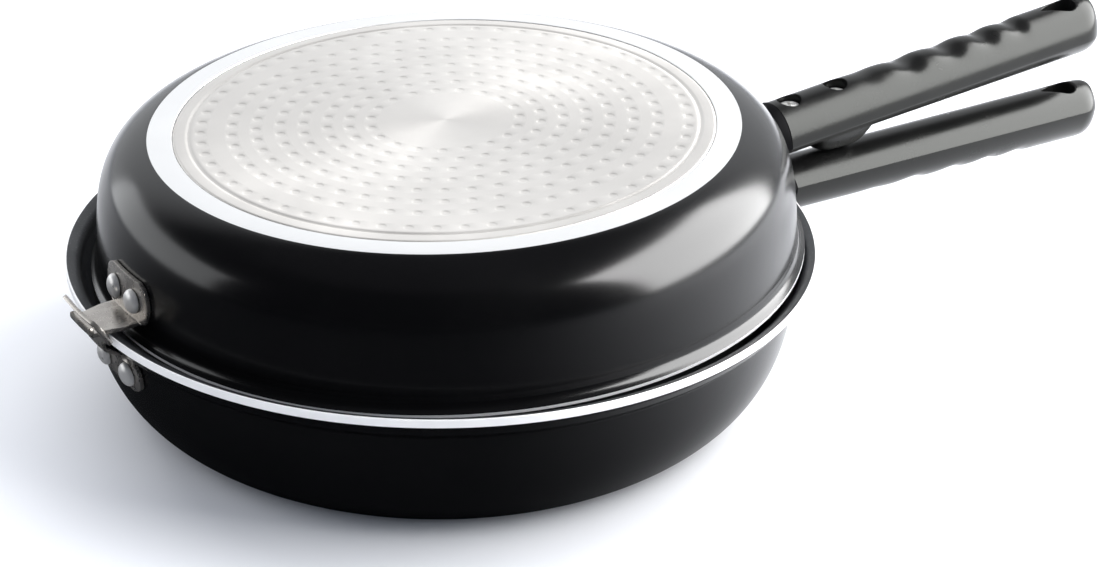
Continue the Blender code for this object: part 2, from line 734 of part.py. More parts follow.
def ring(along, half_width, top, crease, bottom, boss=0.0, finger=0.0):
    """One section: a dome over a deeper rounded underside, which meet in a crease."""
    points = []
    for index in range(SECTION_POINTS):
        turn = math.tau * index / SECTION_POINTS
        side = math.cos(turn)
        level = math.sin(turn)
        if level >= 0:
            height = crease + (top - crease) * abs(level) ** (2 * DOME_POWER)
            height += boss * max(0.0, 1 - (side / BOSS_WIDTH_SHARE) ** 4)
        else:
            dip = finger * max(0.0, level ** 2 - FINGER_SIDE_SHARE)
            height = crease - (crease - bottom - dip) * abs(level)
        points.append((along, half_width * side, height))
    return points


def finger_dip(along):
    """Depth of the finger grooves at a place, steeper on the side towards the tip."""
    place = (along - FINGER_START) / FINGER_PITCH
    if not 0 < place < GROOVE_COUNT:
        return 0.0
    return FINGER_DEPTH * math.sin(math.pi * (place % 1) ** FINGER_SKEW) ** 2


def dome_height(along):
    return between(along / HANDLE_LENGTH, DOME_HEIGHT_ROOT, DOME_HEIGHT_TIP)


def grip_depth(along):
    return between(along / HANDLE_LENGTH, GRIP_DEPTH_ROOT, GRIP_DEPTH_TIP)


def handle_place(root, crease, fall):
    """Handle frame in its pan's upright frame: X along the handle, Z towards its dome."""
    return Matrix.Translation((root, 0, crease)) @ Matrix.Rotation(fall, 4, "Y")


LOWER_HANDLE = handle_place(LOWER_ROOT, LOWER_CREASE, LOWER_FALL)
UPPER_HANDLE = handle_place(UPPER_ROOT, UPPER_CREASE, UPPER_FALL)


def dome_gap(along):
    """Height between the two domes over a place on the upper handle, as the pans rest."""
    high = UPPER_PLACE @ UPPER_HANDLE @ Vector((along, 0, dome_height(along)))
    below = (high.x - LOWER_ROOT) / math.cos(LOWER_FALL)
    return high.z - (LOWER_HANDLE @ Vector((below, 0, dome_height(below)))).z


def boss_height(along):
    """The boss fills the gap to the lower handle, less a seat, and fades out at its ends."""
    place = abs(along - BOSS_CENTRE) / BOSS_HALF_LENGTH
    if place >= 1:
        return 0.0
    fade = max(0.0, place - BOSS_FLAT_SHARE) / (1 - BOSS_FLAT_SHARE)
    return (dome_gap(along) - SEAT_GAP) * math.sqrt(1 - fade ** 2)


def handle_stations():
    """Places of the sections, close together over the boss, the grooves and the round tip."""
    boss = [BOSS_CENTRE + BOSS_HALF_LENGTH * share * side
            for side, shares in ((-1, BOSS_STATION_SHARES[::-1]), (1, BOSS_STATION_SHARES[1:]))
            for share in shares]
    fingers = [FINGER_START + FINGER_PITCH * (groove + share)
               for groove in range(GROOVE_COUNT) for share in FINGER_STATION_SHARES]
    tip = [HANDLE_LENGTH - TIP_ROUND * share for share in TIP_STATION_SHARES]
    last = FINGER_START + FINGER_PITCH * GROOVE_COUNT
    return [0.0] + boss + fingers + [last] + tip


def handle(name, with_boss, place, cutters):
    """The moulded handle, with its slot for the tang, screw recesses and hanging hole."""
    sections = []
    for along in handle_stations():
        share = along / HANDLE_LENGTH
        near_tip = min(1.0, (HANDLE_LENGTH - along) / TIP_ROUND)
        plan = math.sqrt(1 - (1 - near_tip) ** 2)
        drop = math.sqrt(1 - (1 - near_tip) ** 3)
        width = between(share, HANDLE_HALF_WIDTH_ROOT, HANDLE_HALF_WIDTH_TIP) * plan
        boss = boss_height(along) if with_boss else 0.0
        sections.append(ring(along, width, dome_height(along) * drop, 0, -grip_depth(along) * drop,
                             boss, finger_dip(along)))
    item = loft(name, sections, BAKELITE)
    item.data.transform(place)
    return applied(difference(item, cutters))


def seat_level(along, sunk):
    """Level in the handle frame on which a screw head rests, below the crease."""
    return -(grip_depth(along) - sunk - SCREW_HEAD_HEIGHT)


def handle_cutters(name, place):
    """Slot of the tang, recesses and bores of both screws, and the teardrop hole."""
    half = TANG_WIDTH / 2 + SEAT_GAP
    low = -TANG_CENTRE - TANG_THICKNESS / 2 - SEAT_GAP
    high = -TANG_CENTRE + TANG_THICKNESS / 2 + SEAT_GAP
    slot = block(name + "_slot", (-CUT_OVERRUN, -half, low), (TANG_REACH + SEAT_GAP, half, high),
                 cutter=True)
    slot.data.transform(place)
    cutters = [slot]
    for index, (along, sunk) in enumerate(((SCREW_FRONT_AT, SCREW_FRONT_SUNK),
                                           (SCREW_REAR_AT, SCREW_REAR_SUNK))):
        spot = place @ Matrix.Translation((along, 0, 0))
        seat_at = seat_level(along, sunk)
        cutters.append(rod(f"{name}_recess_{index}", RECESS_RADIUS,
                           -grip_depth(along) - CUT_OVERRUN, seat_at, spot))
        cutters.append(rod(f"{name}_bore_{index}", SCREW_SHANK_RADIUS + SEAT_GAP,
                           seat_at - CUT_OVERRUN, -TANG_CENTRE, spot))
    return cutters + [hang_hole(name, place)]


def hang_hole(name, place):
    """Teardrop hole through the handle near its tip, with its point towards the pan."""
    spread = math.acos(HANG_HOLE_RADIUS / HANG_HOLE_POINT)
    outline = [(-HANG_HOLE_POINT, 0)]
    count = 12
    for index in range(count + 1):
        turn = -(math.pi - spread) + 2 * (math.pi - spread) * index / count
        outline.append((HANG_HOLE_RADIUS * math.cos(turn), HANG_HOLE_RADIUS * math.sin(turn)))
    spot = place @ Matrix.Translation((HANDLE_LENGTH - HANG_HOLE_FROM_TIP, 0, 0))
    low = -GRIP_DEPTH_TIP - CUT_OVERRUN
    high = DOME_HEIGHT_TIP + CUT_OVERRUN
    return prism(name + "_hang_hole", outline, low, high, spot)


def screw(name, along, sunk, place):
    """A cross-recess screw up through the handle into the tang."""
    seat_at = seat_level(along, sunk) - SEAT_GAP
    face = -(grip_depth(along) - sunk)
    end = -TANG_CENTRE + TANG_THICKNESS / 2 - SEAT_GAP
    bevel = face + SCREW_HEAD_HEIGHT * HEAD_BEVEL_SHARE
    profile = [(0, end), (SCREW_SHANK_RADIUS, end), (SCREW_SHANK_RADIUS, seat_at),
               (SCREW_HEAD_RADIUS, seat_at), (SCREW_HEAD_RADIUS, bevel),
               (SCREW_HEAD_RADIUS * HEAD_FACE_SHARE, face), (0, face)]
    item = turned(name, profile, SMALL_STEPS, STEEL)
    half = SCREW_SLOT_LENGTH / 2
    thin = SCREW_SLOT_WIDTH / 2
    cross = [block(f"{name}_cross_{index}", (-long, -wide, face - CUT_OVERRUN),
                   (long, wide, face + SCREW_SLOT_DEPTH), cutter=True)
             for index, (long, wide) in enumerate(((half, thin), (thin, half)))]
    applied(difference(item, cross))
    item.data.transform(place @ Matrix.Translation((along, 0, 0)))
    return item


def handle_bracket(name, pan, root, pad_centre, place, wall):
    """The tang on its curved pad, with two bores for the screws."""
    reach = root - pan.wall_radius
    start = -reach - CUT_OVERRUN * 2
    half = TANG_WIDTH / 2
    item = block(name, (start, -half, -TANG_CENTRE - TANG_THICKNESS / 2),
                 (TANG_REACH, half, -TANG_CENTRE + TANG_THICKNESS / 2), BRACKET_ALLOY)
    pad = block(name + "_pad", (start - SEAT_GAP, -PAD_WIDTH / 2, -pad_centre - PAD_HEIGHT / 2),
                (-reach + PAD_THICKNESS, PAD_WIDTH / 2, -pad_centre + PAD_HEIGHT / 2), cutter=True)
    item.data.transform(place)
    pad.data.transform(place)
    bores = [rod(f"{name}_bore_{index}", SCREW_SHANK_RADIUS + SEAT_GAP,
                 -TANG_CENTRE - TANG_THICKNESS, -TANG_CENTRE + TANG_THICKNESS,
                 place @ Matrix.Translation((along, 0, 0)))
             for index, along in enumerate((SCREW_FRONT_AT, SCREW_REAR_AT))]
    return applied(difference(union(item, pad), [wall] + bores))


def collar(name, pan, root, wall_top, place, wall):
    """The ferrule between wall and handle: a band at the handle, tapered towards the wall."""
    reach = root - pan.wall_radius + CUT_OVERRUN * 2
    wall_crease = (wall_top - COLLAR_WALL_BOTTOM) / 2
    skins = []
    for thickness, overrun in ((0, 0), (COLLAR_SKIN, CUT_OVERRUN)):
        grow = COLLAR_PROUD - thickness
        band = (HANDLE_HALF_WIDTH_ROOT + grow, DOME_HEIGHT_ROOT + grow, 0, -GRIP_DEPTH_ROOT - grow)
        slim = (COLLAR_WALL_HALF_WIDTH - thickness, wall_top - thickness, wall_crease,
                -COLLAR_WALL_BOTTOM + thickness)
        skins.append([ring(-SEAT_GAP + overrun, *band), ring(-COLLAR_BAND, *band),
                      ring(-COLLAR_TAPER, *slim), ring(-reach - overrun, *slim)])
    item = loft(name, skins[0], GUARD)
    inner = loft(name + "_inner", skins[1], cutter=True)
    item.data.transform(place)
    inner.data.transform(place)
    return applied(difference(item, [inner, wall]))


def build_pan(side, pan, frame, place, handle_at, root, collar_top, pad_centre,
              rivet_height, rivet_spread, hinge_plate, with_boss):
    """All the pieces of one pan, drawn upright and then moved to where it lies."""
    rivets = [rivet_place(pan, rivet_height, spread) for spread in (-rivet_spread, rivet_spread)]
    holes = rivet_holes(side + "_rivet_hole", rivets)
    wall = wall_cutter(side + "_wall_space", pan)
    pieces = [
        pan_body(side + "_pan_body", pan, holes),
        induction_disc(side + "_induction_disc", pan),
        hinge_plate(side + "_hinge_bracket", holes),
        rivet(side + "_hinge_rivet_left", rivets[0]),
        rivet(side + "_hinge_rivet_right", rivets[1]),
        handle_bracket(side + "_handle_bracket", pan, root, pad_centre, handle_at, wall),
        collar(side + "_flame_guard", pan, root, collar_top, handle_at, wall),
        handle(side + "_handle", with_boss, handle_at, handle_cutters(side + "_handle", handle_at)),
        screw(side + "_handle_screw_front", SCREW_FRONT_AT, SCREW_FRONT_SUNK, handle_at),
        screw(side + "_handle_screw_rear", SCREW_REAR_AT, SCREW_REAR_SUNK, handle_at),
    ]
    for piece in pieces:
        seat(piece, place, frame)


build_pan("lower", LOWER, LOWER_FRAME, Matrix.Identity(4), LOWER_HANDLE, LOWER_ROOT,
          COLLAR_WALL_TOP_LOWER, PAD_CENTRE_LOWER, LOWER_HEIGHT - LOWER_RIVET_DROP,
          LOWER_RIVET_SPREAD, lower_hinge_plate, False)
build_pan("upper", UPPER, UPPER_FRAME, UPPER_PLACE, UPPER_HANDLE, UPPER_ROOT,
          COLLAR_WALL_TOP_UPPER, PAD_CENTRE_UPPER, UPPER_LIP_PLANE - UPPER_RIVET_DROP,
          UPPER_RIVET_SPREAD, upper_hinge_plate, True)
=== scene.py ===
"""Double sided flip pan: the looks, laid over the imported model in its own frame, in metres.

The lower pan stands on z = 0 with its axis on Z, the handles point along +X and the hinge is at
-X. Every piece is drawn in its pan's upright frame, base down and handle along +X, and is then
placed by that pan's matrix.
"""
import json
import math

import bmesh
import bpy
from mathutils import Matrix, Vector

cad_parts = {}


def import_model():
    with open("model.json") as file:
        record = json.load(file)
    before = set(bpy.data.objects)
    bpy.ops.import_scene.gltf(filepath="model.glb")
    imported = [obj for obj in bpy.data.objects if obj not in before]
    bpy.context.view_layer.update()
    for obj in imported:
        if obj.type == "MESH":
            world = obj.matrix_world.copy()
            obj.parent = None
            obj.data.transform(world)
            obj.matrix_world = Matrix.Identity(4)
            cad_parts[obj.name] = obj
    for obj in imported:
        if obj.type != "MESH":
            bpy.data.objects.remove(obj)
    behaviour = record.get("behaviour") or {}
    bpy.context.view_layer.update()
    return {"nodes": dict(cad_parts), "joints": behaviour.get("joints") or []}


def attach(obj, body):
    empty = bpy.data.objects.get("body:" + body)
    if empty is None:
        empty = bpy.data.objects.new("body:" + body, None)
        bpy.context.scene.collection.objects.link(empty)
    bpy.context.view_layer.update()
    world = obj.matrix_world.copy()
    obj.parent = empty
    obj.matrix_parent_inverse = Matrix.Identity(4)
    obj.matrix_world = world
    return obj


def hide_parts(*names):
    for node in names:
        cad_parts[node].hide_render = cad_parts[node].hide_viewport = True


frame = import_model()

# The gap between seated pieces, the least length to divide by, and a cutter's reach past a face
SEAT_GAP = 0.0003
SHORTEST_RUN = 0.000002
CUT_CLEAR = 0.002

# Pans, upright. "lip" and "edge" are the lip's radius and its cut edge, "wall" and "top" the place
# where the wall ends and the flare begins, "base" the radius of the base and "height" the pan's
# height. "start", "angle", "end" and "lean" shape the curve from base to wall. "flare" and "face"
# are shares of the way from the wall's top to the lip, outside and inside.
LOWER = {"lip": 0.1400, "edge": 0.0030, "wall": 0.1328, "base": 0.1088, "height": 0.0577,
         "top": 0.0467, "start": 0.0206, "end": 0.0210, "angle": 29.2, "lean": 2.9,
         "flare": ((0.22, 0.13), (0.50, 0.38), (0.76, 0.75), (1, 1)),
         "face": ((0.60, 0.88), (0.48, 0.76), (0.42, 0.50), (0.27, 0.26), (0.08, 0.10))}
UPPER = {"lip": 0.1334, "edge": 0.0013, "wall": 0.1303, "base": 0.1088, "height": 0.0482,
         "top": 0.0383, "start": 0.0190, "end": 0.0230, "angle": 17.0, "lean": 3.1,
         "flare": ((0.03, 0.40), (0.14, 0.68), (0.48, 0.88), (1, 1)),
         "face": ((0.42, 0.86), (0.16, 0.60), (0.03, 0.28))}
WALL_THICKNESS = 0.0025
FLOOR_THICKNESS = 0.0050
# Inside, the wall ends a rise above the floor, and the flat floor begins a run further in
FOOT_RISE = 0.0009
FOOT_RUN = 0.0036
LIP_INSET = 0.0003
PAN_BEVEL = 0.00025
PAN_STEPS = 288
CORNER_STEPS = 34

# Dimpled discs: the rings are shares of the base radius, with their counts of dimples
DISC_THICKNESS = 0.0012
DISC_RADIUS = LOWER["base"] * 0.915
GROOVE_RADIUS = LOWER["base"] * 0.863
DISC_MIDDLE_RADIUS = 0.012
DIMPLE_RINGS = ((0.823, 60), (0.7195, 52), (0.638, 46), (0.5575, 40), (0.480, 35), (0.400, 29),
                (0.3255, 24), (0.253, 19))
DIMPLE_RADIUS = 0.0020
DIMPLE_DEPTH = 0.00024
# Shares of a dimple's radius and depth, from its edge inwards
DIMPLE_SHAPE = ((1.0, 0.0), (0.90, 0.30), (0.74, 0.74), (0.45, 0.97))
# Each dimple lies in a cell of a band, half the band's width on either side
CELL_HALF = 0.0027
CELL_STEPS = 3

# How the upper pan lies: its tilt, its shift towards the handles, and how far its rim sinks below
# the lower lip
REST_TILT = math.radians(1.76)
REST_SHIFT = 0.00265
REST_SINK = 0.0019
LIP_PLANE = UPPER["height"] - REST_SINK
LOWER_PLACE = Matrix.Identity(4)
UPPER_PLACE = (Matrix.Translation((REST_SHIFT, 0, LOWER["height"]))
               @ Matrix.Rotation(-REST_TILT, 4, "Y")
               @ Matrix.Rotation(math.pi, 4, "X")
               @ Matrix.Translation((0, 0, -LIP_PLANE)))

# Handles, with pairs of values for the root and the tip
HANDLE_LENGTH = 0.1768
HALF_WIDTHS = (0.0132, 0.0128)
DOMES = (0.0073, 0.0098)
DEPTHS = (0.0148, 0.0157)
DOME_POWER = 0.8
SECTION_STEPS = 72
STATION_STEP = 0.0012
STRAIGHT_SHARE = 0.93
TIP_STATIONS = 22
TIP_CROWDING = 2.2
TIP_FLAT = 0.00003
TIP_ROUND = 0.0130
TIP_PLAN_POWER = 2
TIP_SIDE_POWER = 6
# Finger dents in the underside: where they meet along the handle, and how deep they are
FINGER_ENDS = (0.0340, 0.0549, 0.0779, 0.0997, 0.1185, 0.1355)
FINGER_DEPTHS = (0.0007, 0.0026, 0.0027, 0.0026, 0.0022)
FINGER_SKEW = 1.45
FINGER_SIDE_SHARE = 0.3
HOLE_RADIUS = 0.0056
HOLE_POINT = 0.0140
HOLE_FROM_TIP = 0.0170
HOLE_FILLET = 0.0007
# The boss on the upper handle's dome, which rests on the lower handle
BOSS_CENTRE = 0.0310
BOSS_HALF_LENGTH = 0.0130
BOSS_FLAT_SHARE = 0.2
BOSS_WIDTH_SHARE = 0.86
LOWER_ROOT, LOWER_CREASE, LOWER_FALL = 0.1610, 0.0429, math.radians(1.03)
UPPER_ROOT, UPPER_CREASE, UPPER_FALL = 0.1544, 0.0472, math.radians(2.70)
TANG_CENTRE = 0.0062
TANG_SLOT_LENGTH = 0.0403
TANG_SLOT_HALF_WIDTH = 0.0063
TANG_SLOT_HALF_HEIGHT = 0.00255
TANG_HALF_HEIGHT = 0.00195

# Screws: place along the handle and depth under its underside
SCREW_SEATS = ((0.0085, 0.0024, "front"), (0.0325, 0.0036, "rear"))
SCREW_HEAD_RADIUS = 0.0042
SCREW_HEAD_HEIGHT = 0.0020
SCREW_SHANK_RADIUS = 0.0020
SCREW_STEPS = 40
CROSS_HALF_LENGTH = 0.0024
CROSS_HALF_WIDTH = 0.0005
CROSS_DEPTH = 0.0011
CROSS_TURN = math.radians(28)
RECESS_RADIUS = 0.0051
RECESS_FILLET = 0.0003

# Collars. Each station is a distance from the handle's root, a share of the way from the handle's
# section to the slim end, and a growth over it.
COLLAR_SLIM_HALF_WIDTH = 0.0128
COLLAR_SLIM_BOTTOM = 0.0130
COLLAR_STATIONS = ((-0.0003, 0, -0.0001), (-0.0006, 0, 0.0004), (-0.0046, 0, 0.0004),
                   (-0.0050, 0, 0.0003), (-0.0058, 0.03, 0.0), (-0.0085, 0.22, 0),
                   (-0.0115, 0.58, 0), (-0.0140, 0.85, 0), (-0.0160, 1, 0), (-0.0180, 1, 0))
COLLAR_OVERLAP = 0.004

# Hinge: the outlines are shares of a plate's length, with shares of its greatest half width
PLATE_THICKNESS = 0.0015
BEND_RADIUS = 0.0019
EAR_LEAN = math.radians(31.0)
EAR_HEIGHT = 0.0122
EAR_HALF_LENGTH = 0.0155
EAR_BAR = 0.0025
SLOT_HALF_LENGTH = 0.0106
SLOT_CORNER = 0.0015
NECK_SINK = 0.0019
NECK_HALF_WIDTH = 0.0058
LOWER_PLATE_SPAN = (0.0226, 0.0112)
LOWER_PLATE_HALF_WIDTH = 0.0165
LOWER_PLATE_OUTLINE = ((0, 0.66), (0.04, 0.78), (0.12, 0.90), (0.28, 1), (0.78, 1), (0.92, 0.95),
                       (1, 0.86))
EAR_OUTLINE = ((0.05, 0.75), (0.16, 0.92), (0.36, 1), (0.66, 1), (0.82, 0.955), (0.93, 0.88),
               (1, 0.76))
UPPER_PLATE_SPAN = (0.0216, 0.0054)
UPPER_PLATE_HALF_WIDTH = 0.0160
UPPER_PLATE_OUTLINE = ((0, 0.62), (0.03, 0.74), (0.08, 0.83), (0.20, 0.94), (0.40, 1), (0.66, 1),
                       (0.88, 0.91))
TONGUE_HALF_WIDTH = 0.0102
HOOK_HALF_WIDTH = 0.0086
HOOK_END_HALF_WIDTH = 0.0077
HOOK_BEYOND = 0.0030
HOOK_HEIGHT = 0.0018
PLATE_STATION = 0.00045
PLATE_STEPS = 22
PLATE_ROUNDING = 0.0003
HINGE_POINT = Vector(frame["joints"][0]["pos_m"])
RIVET_STEPS = 40
RIVET_DOME_STEPS = 12
RIVET_HEAD_RADIUS = 0.0044
RIVET_HEAD_HEIGHT = 0.0028
RIVET_BAND = 0.0003
RIVET_SHANK_RADIUS = 0.0024
RIVET_TAIL_RADIUS = 0.0042


# ---- materials


def shader_of(name, colour, roughness, metallic=0.0, **more):
    """A Principled material; constants sit on the shader's own sockets."""
    made = bpy.data.materials.new(name)
    made.use_nodes = True
    tree = made.node_tree
    shader = tree.nodes["Principled BSDF"]
    shader.inputs["Base Color"].default_value = (*colour, 1)
    shader.inputs["Roughness"].default_value = roughness
    shader.inputs["Metallic"].default_value = metallic
    for socket, value in more.items():
        shader.inputs[socket.replace("_", " ")].default_value = value
    return made, tree, shader


def node(tree, kind, inputs=None, **fields):
    """A node with its fields set, and its inputs set or linked."""
    made = tree.nodes.new(kind)
    for field, value in fields.items():
        setattr(made, field, value)
    for socket, value in (inputs or {}).items():
        if isinstance(value, bpy.types.NodeSocket):
            tree.links.new(value, made.inputs[socket])
        else:
            made.inputs[socket].default_value = value
    return made


def place_of(tree, scale=None):
    """Object coordinates of the piece, in metres, stretched where a scale is given."""
    spot = node(tree, "ShaderNodeTexCoord").outputs["Object"]
    if scale:
        spot = node(tree, "ShaderNodeMapping", {"Vector": spot, "Scale": scale}).outputs[0]
    return spot


def noise(tree, spot, scale, detail):
    return node(tree, "ShaderNodeTexNoise", {"Vector": spot, "Scale": scale, "Detail": detail,
                                             "Roughness": 0.55}).outputs["Fac"]


def spread(tree, value, low, high, start=0.3, end=0.7):
    """A noise value brought into a range."""
    return node(tree, "ShaderNodeMapRange", {"Value": value, "From Min": start, "From Max": end,
                                             "To Min": low, "To Max": high}).outputs[0]


def flattened(tree, spot):
    """A place with its height taken out."""
    return node(tree, "ShaderNodeVectorMath", {0: spot, 1: (1, 1, 0)},
                operation="MULTIPLY").outputs[0]


def mixed(tree, value, first, second):
    """A colour from the first to the second by a value; each is a plain colour or a socket."""
    inputs = {"Factor": value}
    for socket, colour in (("A", first), ("B", second)):
        inputs[socket] = (*colour, 1) if isinstance(colour, tuple) else colour
    return node(tree, "ShaderNodeMix", inputs, data_type="RGBA").outputs["Result"]


def wandering(tree, shader, tint, colours, gloss, roughness):
    """Let a colour wander by one noise and a roughness by another, each between two values."""
    tree.links.new(mixed(tree, tint, *colours), shader.inputs["Base Color"])
    tree.links.new(spread(tree, gloss, *roughness), shader.inputs["Roughness"])


def bumped(tree, shader, value, strength, distance):
    bump = node(tree, "ShaderNodeBump", {"Height": value, "Strength": strength,
                                         "Distance": distance})
    tree.links.new(bump.outputs[0], shader.inputs["Normal"])


def outer_coating():
    """Glossy black coating, a little uneven."""
    made, tree, shader = shader_of("outer_coating", (0.002, 0.002, 0.0023), 0.2)
    spot = place_of(tree)
    patches = noise(tree, spot, 24, 4)
    wandering(tree, shader, patches, ((0.0015, 0.0015, 0.0018), (0.003, 0.003, 0.0033)),
              patches, (0.17, 0.22))
    bumped(tree, shader, noise(tree, spot, 900, 2), 0.03, 0.0001)
    return made


def inner_coating():
    """Duller dark coating with fine pale specks."""
    made, tree, shader = shader_of("inner_coating", (0.024, 0.0255, 0.029), 0.42)
    spot = place_of(tree)
    specks = spread(tree, noise(tree, spot, 1500, 1), 0, 1, 0.62, 0.70)
    wandering(tree, shader, specks, ((0.020, 0.0215, 0.024), (0.075, 0.078, 0.084)),
              noise(tree, spot, 40, 4), (0.36, 0.48))
    bumped(tree, shader, noise(tree, spot, 1200, 2), 0.10, 0.0002)
    return made


def turned_metal(name, light, dark, roughness, metallic, pitch, strength, anisotropic=0.0):
    """Bare metal with fine circular tool marks about its Z axis."""
    made, tree, shader = shader_of(name, light, roughness, metallic)
    spot = place_of(tree)
    radius = node(tree, "ShaderNodeVectorMath", {0: flattened(tree, spot)},
                  operation="LENGTH").outputs["Value"]
    marks = noise(tree, node(tree, "ShaderNodeCombineXYZ", {"X": radius}).outputs[0], pitch, 2)
    cloud = noise(tree, spot, 30, 4)
    wandering(tree, shader, spread(tree, cloud, 0, 1), (dark, light),
              cloud, (roughness * 0.9, roughness * 1.1))
    if anisotropic:
        shader.inputs["Anisotropic"].default_value = anisotropic
        turn = node(tree, "ShaderNodeTangent", direction_type="RADIAL", axis="Z")
        tree.links.new(turn.outputs[0], shader.inputs["Tangent"])
    bumped(tree, shader, marks, strength, 0.0001)
    return made


def sheet_steel(name, light, dark, roughness, metallic=1.0):
    """Stamped metal with fine scratches."""
    made, tree, shader = shader_of(name, light, roughness, metallic)
    cloud = noise(tree, place_of(tree), 180, 4)
    wandering(tree, shader, spread(tree, cloud, 0, 1), (dark, light),
              cloud, (roughness * 0.8, roughness * 1.3))
    scratches = noise(tree, place_of(tree, (4000, 300, 300)), 1, 3)
    bumped(tree, shader, scratches, 0.10, 0.0001)
    return made


def bakelite():
    """Moulded phenolic with a fine grain."""
    made, tree, shader = shader_of("bakelite", (0.008, 0.008, 0.008), 0.25,
                                   Specular_IOR_Level=0.25, Specular_Tint=(0.98, 1.0, 0.96, 1))
    spot = place_of(tree)
    cloud = noise(tree, spot, 60, 4)
    wandering(tree, shader, cloud, ((0.006, 0.006, 0.006), (0.010, 0.010, 0.0095)),
              cloud, (0.22, 0.28))
    bumped(tree, shader, noise(tree, spot, 1400, 2), 0.12, 0.0002)
    return made


def lacquer():
    """Thin black lacquer of the collars."""
    made, tree, shader = shader_of("guard_lacquer", (0.004, 0.004, 0.004), 0.35,
                                   Specular_IOR_Level=0.02)
    cloud = noise(tree, place_of(tree), 120, 4)
    wandering(tree, shader, cloud, ((0.003, 0.003, 0.0035), (0.006, 0.006, 0.0065)),
              cloud, (0.34, 0.46))
    bumped(tree, shader, cloud, 0.05, 0.0002)
    return made


COATING = outer_coating()
INSIDE = inner_coating()
RING_METAL = turned_metal("base_ring_aluminium", (0.93, 0.93, 0.925), (0.89, 0.89, 0.885), 0.36,
                          0.82, pitch=2500, strength=0.05)
LIP_METAL = turned_metal("lip_aluminium", (0.95, 0.94, 0.925), (0.89, 0.88, 0.865), 0.40,
                         0.15, pitch=3000, strength=0.04)
DISC_METAL = turned_metal("dimpled_disc_steel", (0.82, 0.795, 0.760), (0.74, 0.715, 0.680), 0.42,
                          0.85, pitch=3000, strength=0.10, anisotropic=0.35)
HINGE_METAL = sheet_steel("hinge_steel", (0.58, 0.55, 0.51), (0.38, 0.355, 0.33), 0.26, 0.9)
RIVET_METAL = sheet_steel("rivet_steel", (0.72, 0.71, 0.69), (0.60, 0.59, 0.57), 0.34, 0.6)
SCREW_METAL = sheet_steel("screw_steel", (0.86, 0.85, 0.82), (0.70, 0.69, 0.67), 0.30, 0.6)
ALLOY = sheet_steel("bracket_alloy", (0.66, 0.66, 0.67), (0.56, 0.56, 0.57), 0.45)
HANDLE_PLASTIC = bakelite()
GUARD = lacquer()


# ---- building tools


def add_object(name, mesh, surfaces=()):
    item = bpy.data.objects.new(name, mesh)
    bpy.context.scene.collection.objects.link(item)
    for surface in surfaces:
        mesh.materials.append(surface)
    return item


def finished(item, angle=32):
    """The evaluated mesh, shaded smooth with its sharp edges kept."""
    graph = bpy.context.evaluated_depsgraph_get()
    mesh = bpy.data.meshes.new_from_object(item.evaluated_get(graph))
    item.modifiers.clear()
    item.data = mesh
    mesh.shade_smooth()
    mesh.set_sharp_from_angle(angle=math.radians(angle))
    return item


def sealed(shape, mesh):
    """Face every face of the closed shape outwards and store it in the mesh."""
    bmesh.ops.recalc_face_normals(shape, faces=shape.faces)
    if shape.calc_volume(signed=True) < 0:
        bmesh.ops.reverse_faces(shape, faces=shape.faces)
    shape.to_mesh(mesh)
    shape.free()


def skin(name, rings, surfaces=()):
    """A closed skin through rings of points that all have the same count."""
    mesh = bpy.data.meshes.new(name)
    shape = bmesh.new()
    rows = [[shape.verts.new(point) for point in ring] for ring in rings]
    count = len(rows[0])
    for near, far in zip(rows, rows[1:]):
        for step in range(count):
            after = (step + 1) % count
            shape.faces.new((near[step], near[after], far[after], far[step]))
    shape.faces.new(rows[0])
    shape.faces.new(rows[-1])
    sealed(shape, mesh)
    return add_object(name, mesh, surfaces)


def turned(name, profile, surfaces=(), steps=PAN_STEPS):
    """A closed line of (radius, height, slot) points turned about Z; radius 0 makes a tip.

    The slot is the material of the stretch that follows the point.
    """
    mesh = bpy.data.meshes.new(name)
    shape = bmesh.new()
    rows = []
    for radius, height, _ in profile:
        if radius == 0:
            rows.append([shape.verts.new((0, 0, height))] * steps)
        else:
            rows.append([shape.verts.new((radius * math.cos(math.tau * step / steps),
                                          radius * math.sin(math.tau * step / steps), height))
                         for step in range(steps)])
    pairs = list(zip(rows, rows[1:]))
    if profile[0][0] or profile[-1][0]:
        pairs.append((rows[-1], rows[0]))
    for (_, _, slot), (near, far) in zip(profile, pairs):
        for step in range(steps):
            after = (step + 1) % steps
            corners = list(dict.fromkeys((near[step], near[after], far[after], far[step])))
            if len(corners) > 2:
                shape.faces.new(corners).material_index = slot
    sealed(shape, mesh)
    return add_object(name, mesh, surfaces)


def cut(item, cutters):
    """Cut solids out of a piece and drop them."""
    for cutter in cutters:
        change = item.modifiers.new("cut", "BOOLEAN")
        change.operation = "DIFFERENCE"
        change.solver = "MANIFOLD"
        change.object = cutter
    finished(item)
    for cutter in cutters:
        bpy.data.objects.remove(cutter, do_unlink=True)
    return item


def block(name, low, high, place=Matrix.Identity(4)):
    """A box between two corners, in a place."""
    mesh = bpy.data.meshes.new(name)
    shape = bmesh.new()
    size = Vector(high) - Vector(low)
    middle = Matrix.Translation((Vector(high) + Vector(low)) / 2) @ Matrix.Diagonal((*size, 1))
    bmesh.ops.create_cube(shape, size=1, matrix=place @ middle)
    shape.to_mesh(mesh)
    shape.free()
    return add_object(name, mesh)


def bezier(corners, count):
    """Points along a cubic curve in the plane."""
    points = []
    for index in range(count):
        t = index / (count - 1)
        s = 1 - t
        weights = (s ** 3, 3 * s * s * t, 3 * s * t * t, t ** 3)
        points.append(tuple(sum(w * c[axis] for w, c in zip(weights, corners)) for axis in (0, 1)))
    return points


